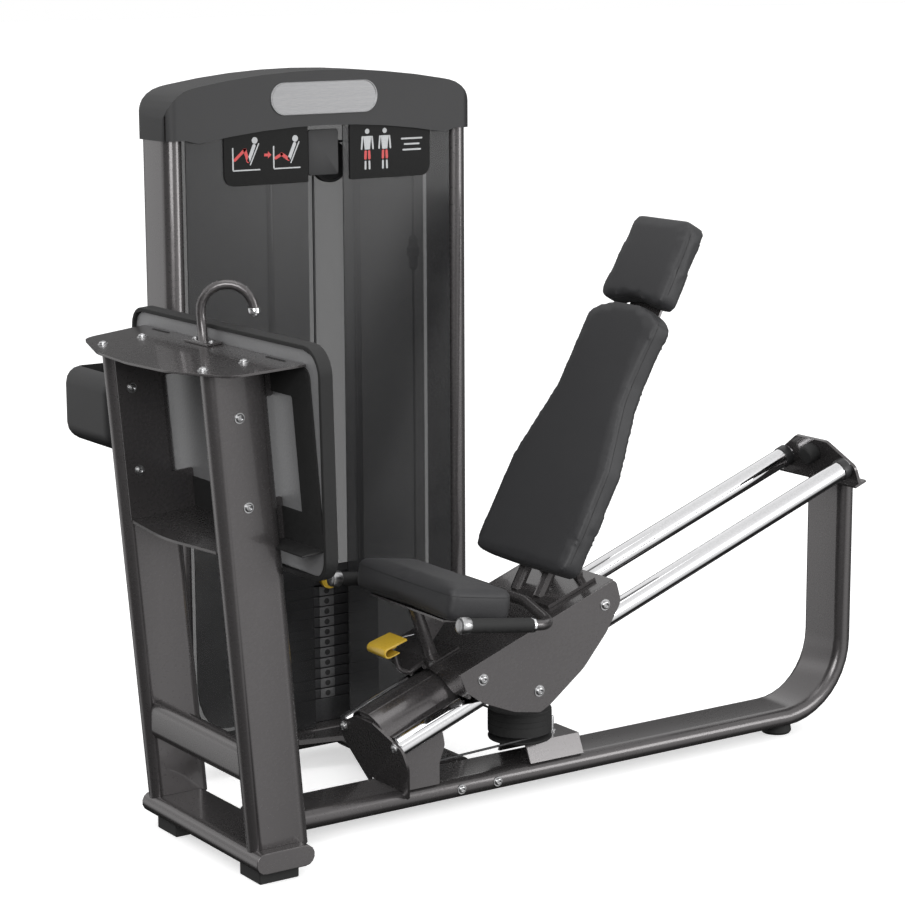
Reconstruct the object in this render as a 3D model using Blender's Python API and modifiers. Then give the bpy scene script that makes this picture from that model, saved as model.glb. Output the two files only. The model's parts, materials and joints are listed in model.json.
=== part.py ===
"""Seated leg press: a seat carriage on two inclined rails, a fixed footplate and a weight tower.

Metres, +Z up. +X runs from the footplate end to the high end of the rails, and +Y towards the
weight tower. Lengths are first laid out from the front cross foot and the seat's centre line,
then the whole machine hangs under one empty that puts the origin at the base's centre.
"""
import math

import bmesh
import bpy
from mathutils import Matrix, Vector

# ---- driving dimensions -------------------------------------------------------------------
GAP = 0.0004                      # clearance left between neighbouring pieces
TUBE_W = 0.140                    # flat-oval frame tube, wide way
TUBE_T = 0.046                    # flat-oval frame tube, thin way
PLATE = 0.006                     # steel plate thickness
BEAM_Z = 0.0525                   # centre height of the floor beams
BEAM_TOP = BEAM_Z + TUBE_T / 2

RAIL_ANGLE = math.radians(20.2)
RAIL_Z0 = 0.0583                  # rail axis height at x = 0
RAIL_Y = 0.105
RAIL_R = 0.024
RAIL_X = (0.369, 1.664)           # rail ends

FOOTPLATE_HALF = 0.400
TRAY_Y = (0.440, 0.690)
FRONT_Y = 0.015                   # centre line of the legs and footplate
TOP_PLATE_X = (-0.118, 0.107)     # along the top plate, before it leans with the legs
POST_X = 1.713                    # rear post centre
REAR_X = POST_X + TUBE_T / 2

LEG_TILT = math.radians(4.75)
LEG_Y = 0.217
LEG_FOOT_X = 0.008                # leg centre where it meets the cross foot

TOWER_X = 0.5300                  # tower centre
TOWER_HALF = 0.4050
TOWER_T = 0.050
TOWER_BEND = 0.165
TOWER_BASE_Z = 0.055
TOWER_FRONT = 0.440
TOWER_DEPTH = 0.125
TOWER_TOP = 1.545
COWL_TOP = 1.636

PLATE_PITCH = 0.0252              # one inch weight plates
STACK_Z0 = 0.139
LOWER_PLATES = 11
STACK_X = 0.550
STACK_Y = (0.484, 0.551)
STACK_HALF = 0.150
GUIDE_OFF = 0.118                 # guide rods, either side of the stack's middle
CABLE_R = 0.003
CABLE_Y = 0.5175

CARRIAGE_X = 0.700                # rail point under the carriage's own origin
SIDE_Y = 0.150
ROLLER_U = (-0.124, 0.233)
ROLLER_W = 0.0565

DRUM = (0.772, 0.0)
DRUM_R = 0.074
DRUM_GROOVE = 0.055
DRUM_Z = 0.134

X_MIN = -0.2039
X_MAX = REAR_X
Y_MIN = FRONT_Y - FOOTPLATE_HALF
Y_MAX = TRAY_Y[1]
SHIFT = Vector((-(X_MIN + X_MAX) / 2, -(Y_MIN + Y_MAX) / 2, 0))


# ---- scene and helpers --------------------------------------------------------------------
for old in list(bpy.data.objects):
    bpy.data.objects.remove(old)

MACHINE = bpy.data.collections.new("leg_press_machine")
GUIDES = bpy.data.collections.new("guides_and_cutters")
bpy.context.scene.collection.children.link(MACHINE)
bpy.context.scene.collection.children.link(GUIDES)


def material(name, color, metallic, roughness):
    mat = bpy.data.materials.new(name)
    mat.use_nodes = True
    shader = mat.node_tree.nodes["Principled BSDF"]
    shader.inputs["Base Color"].default_value = (*color, 1)
    shader.inputs["Metallic"].default_value = metallic
    shader.inputs["Roughness"].default_value = roughness
    return mat


PAINT = material("frame_paint", (0.10, 0.09, 0.09), 0.6, 0.35)
CHROME = material("chrome", (0.85, 0.85, 0.86), 1.0, 0.08)
STEEL = material("light_steel", (0.45, 0.45, 0.46), 0.7, 0.35)
COWLING = material("cowl_plastic", (0.055, 0.055, 0.056), 0.0, 0.5)
PANEL = material("smoked_panel", (0.06, 0.06, 0.065), 0.0, 0.12)
RUBBER = material("black_rubber", (0.02, 0.02, 0.02), 0.0, 0.7)
VINYL = material("charcoal_vinyl", (0.045, 0.045, 0.047), 0.0, 0.5)
YELLOW = material("yellow_plastic", (0.65, 0.42, 0.05), 0.0, 0.4)
IRON = material("weight_iron", (0.03, 0.03, 0.032), 0.3, 0.5)
PLACARD = material("placard_black", (0.01, 0.01, 0.01), 0.0, 0.2)


def empty(name, location, rotation=(0, 0, 0)):
    obj = bpy.data.objects.new(name, None)
    obj.location = location
    obj.rotation_euler = rotation
    GUIDES.objects.link(obj)
    bpy.context.view_layer.update()
    return obj


def hold(obj, parent):
    """Parent a piece while it stays where it was laid out."""
    bpy.context.view_layer.update()
    obj.parent = parent
    obj.matrix_parent_inverse = parent.matrix_world.inverted()
    return obj


def add_mesh(name, bm, mat, location=(0, 0, 0), rotation=(0, 0, 0)):
    mesh = bpy.data.meshes.new(name)
    bm.to_mesh(mesh)
    bm.free()
    obj = bpy.data.objects.new(name, mesh)
    obj.location = location
    obj.rotation_euler = rotation
    obj.data.materials.append(mat)
    MACHINE.objects.link(obj)
    return obj


def make_guide(obj):
    for holder in list(obj.users_collection):
        holder.objects.unlink(obj)
    GUIDES.objects.link(obj)
    obj.hide_render = True
    obj.display_type = "WIRE"
    return obj


def bevel(obj, width, segments=2, angle=35):
    mod = obj.modifiers.new("rounding", "BEVEL")
    mod.width = width
    mod.segments = segments
    mod.limit_method = "ANGLE"
    mod.angle_limit = math.radians(angle)
    mod.use_clamp_overlap = True
    return obj


def smooth(obj, angle=35):
    obj.data.shade_smooth()
    obj.data.set_sharp_from_angle(angle=math.radians(angle))
    return obj


def box(name, mat, low, high, edge=0.0, segments=2):
    """A box between two corners, with its edges rounded."""
    low, high = Vector(low), Vector(high)
    size = high - low
    bm = bmesh.new()
    bmesh.ops.create_cube(bm, size=1, matrix=Matrix.Diagonal((*size, 1)))
    obj = add_mesh(name, bm, mat, (low + high) / 2)
    if edge:
        bevel(obj, edge, segments)
    return obj


def cylinder(name, mat, radius, length, centre, axis, sides=24):
    """A cylinder about a point, along a direction."""
    bm = bmesh.new()
    bmesh.ops.create_cone(bm, cap_ends=True, segments=sides, radius1=radius, radius2=radius, depth=length)
    turn = Vector((0, 0, 1)).rotation_difference(Vector(axis)).to_euler()
    return smooth(add_mesh(name, bm, mat, centre, turn))


def lathe(name, mat, profile, centre, axis, sides=32):
    """A turned piece: (radius, height) points that start and end on the axis, top to bottom."""
    bm = bmesh.new()
    points = [bm.verts.new((r, 0, h)) for r, h in profile]
    for a, b in zip(points, points[1:]):
        bm.edges.new((a, b))
    turn = Vector((0, 0, 1)).rotation_difference(Vector(axis)).to_euler()
    obj = add_mesh(name, bm, mat, centre, turn)
    mod = obj.modifiers.new("turn", "SCREW")
    mod.steps = sides
    mod.render_steps = sides
    mod.use_merge_vertices = True
    mod.merge_threshold = 0.00005
    return obj


def rounded(points, radii, steps=5, closed=True):
    """Points of a path or outline with each corner turned into an arc."""
    pts = [Vector(p) if len(p) == 3 else Vector((*p, 0)) for p in points]
    if isinstance(radii, (int, float)):
        radii = [radii] * len(pts)
    out = []
    for i, p in enumerate(pts):
        if radii[i] <= 0 or (not closed and i in (0, len(pts) - 1)):
            out.append(p)
            continue
        a = (pts[i - 1] - p).normalized()
        b = (pts[(i + 1) % len(pts)] - p).normalized()
        half = a.angle(b) / 2
        run = radii[i] / math.tan(half)
        centre = p + (a + b).normalized() * (radii[i] / math.sin(half))
        first, last = p + a * run - centre, p + b * run - centre
        sweep = first.angle(last)
        for k in range(steps + 1):
            t = k / steps
            arc = (first * math.sin((1 - t) * sweep) + last * math.sin(t * sweep)) / math.sin(sweep)
            out.append(centre + arc)
    return out


def arc(centre, radius, start, stop, steps):
    """Points on a circle arc, angles in degrees."""
    angles = [math.radians(start + (stop - start) * k / steps) for k in range(steps + 1)]
    return [(centre[0] + radius * math.cos(a), centre[1] + radius * math.sin(a)) for a in angles]


def curve_object(name, paths, closed, dimensions):
    curve = bpy.data.curves.new(name, "CURVE")
    curve.dimensions = dimensions
    for path in paths:
        spline = curve.splines.new("POLY")
        spline.points.add(len(path) - 1)
        for point, co in zip(spline.points, path):
            point.co = (*(co if len(co) == 3 else (*co, 0)), 1)
        spline.use_cyclic_u = closed
    obj = bpy.data.objects.new(name, curve)
    MACHINE.objects.link(obj)
    return obj


def to_mesh(obj, mat):
    """Turn a curve into a welded mesh object of the same name and place."""
    bpy.context.view_layer.update()
    shape = obj.evaluated_get(bpy.context.evaluated_depsgraph_get())
    mesh = bpy.data.meshes.new_from_object(shape)
    bm = bmesh.new()
    bm.from_mesh(mesh)
    bmesh.ops.remove_doubles(bm, verts=bm.verts, dist=0.00002)
    bmesh.ops.recalc_face_normals(bm, faces=bm.faces)
    bm.to_mesh(mesh)
    bm.free()
    name = obj.name
    matrix = obj.matrix_world.copy()
    bpy.data.objects.remove(obj)
    made = bpy.data.objects.new(name, mesh)
    made.matrix_world = matrix
    made.data.materials.clear()
    made.data.materials.append(mat)
    MACHINE.objects.link(made)
    return made


UPRIGHT_XZ = (math.pi / 2, 0, 0)            # outline (x, z), thickness along y
UPRIGHT_YZ = (math.pi / 2, 0, math.pi / 2)  # outline (y, z), thickness along x


def plate(name, mat, outlines, thickness, location=(0, 0, 0), rotation=(0, 0, 0), edge=0.0):
    """A flat plate from its outline, any further outlines being windows in it."""
    obj = curve_object(name, outlines, True, "2D")
    obj.data.fill_mode = "BOTH"
    obj.data.extrude = thickness / 2
    obj.location = location
    obj.rotation_euler = rotation
    made = to_mesh(obj, mat)
    if edge:
        bevel(made, edge, 2)
    return made


def round_tube(name, mat, path, radius, resolution=3):
    """A round bar or tube along a path."""
    obj = curve_object(name, [path], False, "3D")
    obj.data.bevel_depth = radius
    obj.data.bevel_resolution = resolution
    obj.data.use_fill_caps = True
    return smooth(to_mesh(obj, mat))


def racetrack(width, thickness, steps=7):
    r = thickness / 2
    h = width / 2 - r
    return arc((h, 0), r, -90, 90, steps) + arc((-h, 0), r, 90, 270, steps)


def oval_tube(name, mat, path, tilt=0, width=TUBE_W, thickness=TUBE_T):
    """A flat-oval frame tube along a path; a tilt of 90 turns its wide way into the path's plane."""
    section = make_guide(curve_object(name + "_section", [racetrack(width, thickness)], True, "2D"))
    obj = curve_object(name, [path], False, "3D")
    obj.data.bevel_mode = "OBJECT"
    obj.data.bevel_object = section
    obj.data.use_fill_caps = True
    for point in obj.data.splines[0].points:
        point.tilt = math.radians(tilt)
    return smooth(to_mesh(obj, mat))


def cut(obj, tool, operation="DIFFERENCE"):
    make_guide(tool)
    mod = obj.modifiers.new(operation.lower(), "BOOLEAN")
    mod.operation = operation
    mod.object = tool
    return obj


# ---- frames of reference ------------------------------------------------------------------
def rail_height(x):
    return RAIL_Z0 + math.tan(RAIL_ANGLE) * x


TILTED = (0, -RAIL_ANGLE, 0)
ALONG = Vector((math.cos(RAIL_ANGLE), 0, math.sin(RAIL_ANGLE)))
ACROSS = Vector((-math.sin(RAIL_ANGLE), 0, math.cos(RAIL_ANGLE)))
CARRIAGE_AT = Vector((CARRIAGE_X, 0, rail_height(CARRIAGE_X)))


def on_carriage(u, y, w):
    """A point u along the rails and w above their axes, from the carriage's origin."""
    return CARRIAGE_AT + ALONG * u + ACROSS * w + Vector((0, y, 0))


def leg_x(z):
    return LEG_FOOT_X - math.tan(LEG_TILT) * (z - 0.05)


def tilted_plate(name, mat, outlines, thickness, y, edge=0.0):
    """A plate parallel to the rails' vertical plane, its outline in (u, w)."""
    obj = plate(name, mat, outlines, thickness, (0, 0, 0), UPRIGHT_XZ, edge)
    obj.data.transform(Matrix.Rotation(math.pi / 2, 4, "X"))
    obj.rotation_euler = TILTED
    obj.location = CARRIAGE_AT + Vector((0, y, 0))
    return obj


def square_plate(name, mat, outlines, thickness, u, edge=0.0):
    """A plate square to the rails, its outline in (y, w)."""
    obj = plate(name, mat, outlines, thickness, (0, 0, 0), UPRIGHT_YZ, edge)
    turn = Matrix.Rotation(math.pi / 2, 4, "Z") @ Matrix.Rotation(math.pi / 2, 4, "X")
    obj.data.transform(turn)
    obj.rotation_euler = TILTED
    obj.location = on_carriage(u, 0, 0)
    return obj


# ---- floor frame --------------------------------------------------------------------------
def build_floor_frame():
    parts = []
    beam = [(TUBE_W / 2 + GAP, 0, BEAM_Z), (POST_X, 0, BEAM_Z), (POST_X, 0, 0.628)]
    parts.append(oval_tube("main_beam", PAINT, rounded(beam, 0.175, 10, False)))
    parts.append(oval_tube("front_cross_foot", PAINT, [(0, -0.250, BEAM_Z), (0, 0.260, BEAM_Z)]))
    foot_top = BEAM_Z - TUBE_T / 2 - GAP
    parts.append(box("foot_pad_near", RUBBER, (-0.050, -0.226, 0), (0.045, -0.140, foot_top), 0.003))
    parts.append(box("foot_pad_far", RUBBER, (-0.050, 0.140, 0), (0.045, 0.226, foot_top), 0.003))
    puck = [(0, foot_top), (0.034, foot_top), (0.038, 0.006), (0.034, 0), (0, 0)]
    parts.append(lathe("rear_foot_puck", RUBBER, puck, (1.550, 0, 0), (0, 0, 1), 28))
    tie_start = TUBE_W / 2 + GAP
    tie_x = 0.612
    tie_stop = TOWER_FRONT - GAP
    tie = oval_tube("cross_tie", PAINT, [(tie_x, tie_start, BEAM_Z), (tie_x, tie_stop, BEAM_Z)])
    flare = [(0.390, tie_stop), (0.410, 0.400), (0.560, 0.362)]
    flare += [(0.664, 0.362), (0.735, 0.400), (0.755, tie_stop)]
    ring = rounded(flare, [0, 0.02, 0.05, 0.05, 0.02, 0], 3)
    wing = plate("tie_wing", PAINT, [ring], 0.012, (0, 0, BEAM_TOP - 0.006))
    parts.append(cut(tie, wing, "UNION"))
    return parts


def lean(obj):
    """Lean a piece laid out upright back with the legs, about their feet."""
    bpy.context.view_layer.update()
    foot = Vector((LEG_FOOT_X, 0, BEAM_Z))
    turn = Matrix.Translation(foot + Vector((0, FRONT_Y, 0))) @ Matrix.Rotation(-LEG_TILT, 4, "Y")
    obj.matrix_world = turn @ Matrix.Translation(-foot) @ obj.matrix_world
    return obj


LEG_TOP = 1.0908                  # leg length's end, before it leans


def build_legs():
    parts = []
    for name, side in (("leg_near", -1), ("leg_far", 1)):
        path = [(LEG_FOOT_X, side * LEG_Y, BEAM_Z + 0.010), (LEG_FOOT_X, side * LEG_Y, LEG_TOP)]
        leg = lean(oval_tube(name, PAINT, path))
        wide, thick = TUBE_W + 2 * GAP, TUBE_T + 2 * GAP
        cope = oval_tube(name + "_cope", PAINT, [(0, -0.35, BEAM_Z), (0, 0.35, BEAM_Z)], 0, wide, thick)
        parts.append(cut(leg, cope))
    inner = LEG_Y - TUBE_T / 2 - GAP
    z = 0.252
    bar = [(leg_x(z) - 0.036, FRONT_Y - inner, z), (leg_x(z) - 0.036, FRONT_Y + inner, z)]
    parts.append(oval_tube("leg_crossbar", PAINT, bar, 90, 0.086, TUBE_T))
    return parts


# ---- footplate and its bracket ------------------------------------------------------------
def build_footplate():
    parts = []
    front, back = TOP_PLATE_X
    outline = [(back, -0.345), (back, 0.345), (front + 0.065, 0.322), (front + 0.010, 0.150)]
    outline += [(front - 0.0007, 0.0), (front + 0.010, -0.150), (front + 0.065, -0.322)]
    slots = []
    for side in (-1, 1):
        slot = racetrack(0.045, 0.006, 3)
        slots.append([(y * 0.3 + 0.040, x + side * 0.170) for x, y in slot])
    corners = [0.006, 0.006, 0.045, 0.12, 0.3, 0.12, 0.045]
    rings = [rounded(outline, corners, 4)] + slots
    top = plate("top_plate", PAINT, rings, 0.005, (0, 0, LEG_TOP + GAP + 0.0025))
    parts.append(lean(top))

    hook_x, hook_y, hook_z = 0.086, 0.040, LEG_TOP + GAP + 0.005 + GAP
    reach, turn_z = 0.056, hook_z + 0.064
    bend = []
    for k in range(13):
        a = math.radians(180 - 180 * k / 12)
        out = reach + reach * math.cos(a)
        bend.append((hook_x + out * 0.83, hook_y - out * 0.56, turn_z + reach * math.sin(a)))
    tail = [(bend[-1][0], bend[-1][1], turn_z - 0.008)]
    hook = round_tube("towel_hook", PAINT, [(hook_x, hook_y, hook_z + 0.001)] + bend + tail, 0.0105, 3)
    flange_low = (hook_x - 0.019, hook_y - 0.050, hook_z)
    flange_high = (hook_x + 0.019, hook_y + 0.050, hook_z + 0.005)
    flange = lean(box("towel_hook_flange", PAINT, flange_low, flange_high, 0.001))
    parts.append(cut(lean(hook), flange, "UNION"))

    # footplate, laid out upright and leaned with the legs
    face_x = 0.117
    low, high = -FOOTPLATE_HALF, FOOTPLATE_HALF
    shape = [(low + 0.045, 0.640), (high - 0.045, 0.640), (high + 0.0055, 1.135), (low - 0.0055, 1.135)]
    radii = [0.060, 0.060, 0.055, 0.055]
    inset = 0.010
    inner = [(y - math.copysign(inset, y), z + (inset if z < 0.9 else -inset)) for y, z in shape]
    inner_radii = [r - inset for r in radii]
    rim_rings = [rounded(shape, radii, 6), rounded(inner, inner_radii, 6)]
    rim = plate("footplate_rim", RUBBER, rim_rings, 0.030, (face_x, 0, 0), UPRIGHT_YZ, 0.004)
    clear = inset + GAP
    fill = [(y - math.copysign(clear, y), z + (clear if z < 0.9 else -clear)) for y, z in shape]
    panel_ring = [rounded(fill, [r - clear for r in radii], 6)]
    panel = plate("footplate_panel", STEEL, panel_ring, 0.008, (face_x - 0.004, 0, 0), UPRIGHT_YZ)
    parts.append(lean(rim))
    parts.append(lean(panel))

    # welded bracket: two windowed side plates and a shelf
    back_x = face_x - 0.004 - 0.004 - GAP
    cheek = [(-0.050, 0.708), (back_x, 0.708), (back_x, 0.800), (0.0555, 0.800)]
    cheek += [(0.0555, 1.012), (back_x, 1.012), (back_x, LEG_TOP - 0.0006), (-0.050, LEG_TOP - 0.0006)]
    cheek_y = LEG_Y - TUBE_T / 2 - GAP - PLATE / 2
    rings = [rounded(cheek, 0.004, 2)]
    bracket = plate("footplate_bracket", PAINT, rings, PLATE, (0, -cheek_y, 0), UPRIGHT_XZ)
    other = plate("far_cheek", PAINT, rings, PLATE, (0, cheek_y, 0), UPRIGHT_XZ)
    shelf_points = [(-0.050, -cheek_y), (-0.072, 0), (-0.050, cheek_y)]
    shelf_points += [(back_x, cheek_y), (back_x, -cheek_y)]
    shelf_points = rounded(shelf_points, [0.01, 0.5, 0.01, 0.002, 0.002], 5)
    shelf = plate("shelf", PAINT, [shelf_points], PLATE, (0, 0, 0.711))
    for piece in (bracket, other, shelf):
        lean(piece)
    cut(bracket, other, "UNION")
    cut(bracket, shelf, "UNION")
    parts.append(bracket)
    return parts


# ---- rails --------------------------------------------------------------------------------
def rail_u(x):
    """Distance along the rail from the carriage's origin to the rail point at x."""
    return (x - CARRIAGE_X) / math.cos(RAIL_ANGLE)


def build_rails():
    parts = []
    start, stop = rail_u(RAIL_X[0]), rail_u(RAIL_X[1])
    for name, y in (("rail_near", -RAIL_Y), ("rail_far", RAIL_Y)):
        centre = on_carriage((start + stop) / 2, y, 0)
        parts.append(cylinder(name, CHROME, RAIL_R, stop - start - 2 * GAP, centre, ALONG, 32))

    # front plate: straddles the main beam and carries the rails' lower ends
    beam_half = TUBE_W / 2 + 0.001
    face = [(-0.035, 0.045), (0.035, 0.045), (0.130, 0.002), (0.130, -0.045), (0.079, -0.142)]
    face += [(-0.079, -0.142), (-0.130, -0.045), (-0.130, 0.002)]
    radii = [0.01, 0.01, 0.02, 0.06, 0.004, 0.004, 0.06, 0.02]
    front = square_plate("rail_front_plate", PAINT, [rounded(face, radii, 4)], PLATE, start - PLATE / 2)
    gusset = []
    for side in (-1, 1):
        low = BEAM_TOP + 0.0006
        web = [(0.372, 0.200), (0.512, 0.200), (0.519, 0.165), (0.504, 0.125), (0.504, low), (0.405, low)]
        web = rounded(web, [0.002, 0.01, 0.02, 0.02, 0.002, 0.002], 3)
        gusset.append(plate(f"gusset_{side}", PAINT, [web], 0.005, (0, side * 0.066, 0), UPRIGHT_XZ))
    notch = box("beam_notch", PAINT, (0.30, -beam_half, 0.0), (0.60, beam_half, BEAM_TOP + 0.0004))
    for web in gusset:
        cut(front, web, "UNION")
    cut(front, notch)
    parts.append(front)

    # rear plate: square to the rails above the post, with a folded lip
    face = [(-0.138, -0.045), (-0.138, 0.004), (-0.055, 0.060)]
    face += [(0.055, 0.060), (0.138, 0.004), (0.138, -0.045)]
    outline = rounded(face, [0.004, 0.02, 0.02, 0.02, 0.02, 0.004], 4)
    rear = square_plate("rail_rear_plate", PAINT, [outline], 0.008, stop + 0.004)
    lip_centre = on_carriage(stop + 0.006, 0, -0.044)
    lip = box("lip", PAINT, (-0.018, -0.138, -0.003), (0.018, 0.138, 0.003))
    lip.location = lip_centre
    lip.rotation_euler = TILTED
    cut(rear, lip, "UNION")
    parts.append(rear)
    stop_profile = [(0, 0.030), (0.020, 0.030), (0.024, 0.026), (0.024, 0.0), (0, 0.0)]
    bumper_at = on_carriage(stop - GAP, 0, 0.026)
    parts.append(lathe("rail_stop_bumper", RUBBER, stop_profile, bumper_at, -ALONG, 24))
    return parts


# ---- pulley bracket, pulleys and cable -----------------------------------------------------
FRONT_PULLEY = Vector((0.452, -0.055, 0.150))
FRONT_PULLEY_R = 0.026
BASE_PULLEY = Vector((DRUM[0] + DRUM_GROOVE, CABLE_Y - 0.032, DRUM_Z + 0.032))
TOP_PULLEY_R = 0.045
TOP_PULLEY_Z = 1.420
OUTER_X = BASE_PULLEY.x - TOP_PULLEY_R
INNER_X = STACK_X + TOP_PULLEY_R


def groove_profile(groove, rim, width):
    """A pulley's turned profile, from its top face to its bottom face."""
    half = width / 2
    return [(0, half), (rim, half), (rim, half - 0.0015), (groove, 0.0033), (groove, -0.0033),
            (rim, -half + 0.0015), (rim, -half), (0, -half)]


def pulley(name, centre, axis, groove, width=0.016, sides=28):
    face = groove - CABLE_R - 0.0004
    return lathe(name, COWLING, groove_profile(face, groove + 0.004, width), centre, axis, sides)


def build_pulleys():
    parts = []
    hat = [(-0.066, BEAM_TOP + GAP), (-0.058, BEAM_TOP + GAP), (-0.041, 0.1155), (0.041, 0.1155)]
    hat += [(0.058, BEAM_TOP + GAP), (0.066, BEAM_TOP + GAP), (0.045, 0.1205), (-0.045, 0.1205)]
    bracket = plate("pulley_bracket", PAINT, [hat], 0.152, (0.832, 0, 0), UPRIGHT_YZ)
    parts.append(bracket)
    foot = 0.1209
    drum = [(0, 0.195), (DRUM_R - 0.012, 0.195), (DRUM_R - 0.002, 0.188), (DRUM_R, 0.180)]
    drum += [(DRUM_R - 0.003, 0.174), (DRUM_R, 0.168), (DRUM_R - 0.003, 0.162), (DRUM_R, 0.156)]
    drum += [(DRUM_R - 0.003, 0.150), (DRUM_R, 0.1435), (DRUM_GROOVE - 0.0034, 0.1378)]
    drum += [(DRUM_GROOVE - 0.0034, 0.1302), (DRUM_R, 0.1255), (DRUM_R - 0.003, foot), (0, foot)]
    parts.append(lathe("beam_pulley", RUBBER, drum, (DRUM[0], DRUM[1], 0), (0, 0, 1), 28))
    parts.append(pulley("front_pulley", FRONT_PULLEY, (0, 1, 0), FRONT_PULLEY_R))
    parts.append(pulley("base_pulley", BASE_PULLEY, (1, 0, 0), 0.032))
    outer = (OUTER_X, CABLE_Y, TOP_PULLEY_Z)
    inner = (INNER_X, CABLE_Y, TOP_PULLEY_Z)
    parts.append(pulley("top_pulley_outer", outer, (0, 1, 0), TOP_PULLEY_R))
    parts.append(pulley("top_pulley_inner", inner, (0, 1, 0), TOP_PULLEY_R))
    return parts


def turn_points(centre, radius, first, second, start, stop, steps):
    """Points of a turn about a centre, in the plane of two directions, angles in degrees."""
    first, second = Vector(first), Vector(second)
    out = []
    for k in range(steps + 1):
        a = math.radians(start + (stop - start) * k / steps)
        out.append(Vector(centre) + first * (radius * math.cos(a)) + second * (radius * math.sin(a)))
    return out


CABLE_TAKE_OFF = 110.2            # where the cable leaves the front pulley, towards the rack


def build_cable():
    """The fixed run of the cable, from above the stack round the pulleys to the front pulley."""
    x, y, z = (1, 0, 0), (0, 1, 0), (0, 0, 1)
    inner = (INNER_X, CABLE_Y, TOP_PULLEY_Z)
    outer = (OUTER_X, CABLE_Y, TOP_PULLEY_Z)
    drum = (DRUM[0], DRUM[1], DRUM_Z)
    path = turn_points(inner, TOP_PULLEY_R, x, z, 180, 90, 8)
    path += turn_points(outer, TOP_PULLEY_R, x, z, 90, 0, 8)
    path += turn_points(BASE_PULLEY, 0.032, y, z, 0, -90, 8)
    path += turn_points(drum, DRUM_GROOVE, x, y, 0, -90, 8)
    centre = FRONT_PULLEY
    slope = math.degrees(math.atan2(DRUM_Z - (centre.z - FRONT_PULLEY_R), DRUM[0] - centre.x))
    path += turn_points(centre, FRONT_PULLEY_R, x, z, -90 + slope, -180, 4)
    path += turn_points(centre, FRONT_PULLEY_R, x, z, -180, -360 + CABLE_TAKE_OFF, 4)[1:]
    return [round_tube("cable_run", STEEL, path, CABLE_R, 2)]


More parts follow.
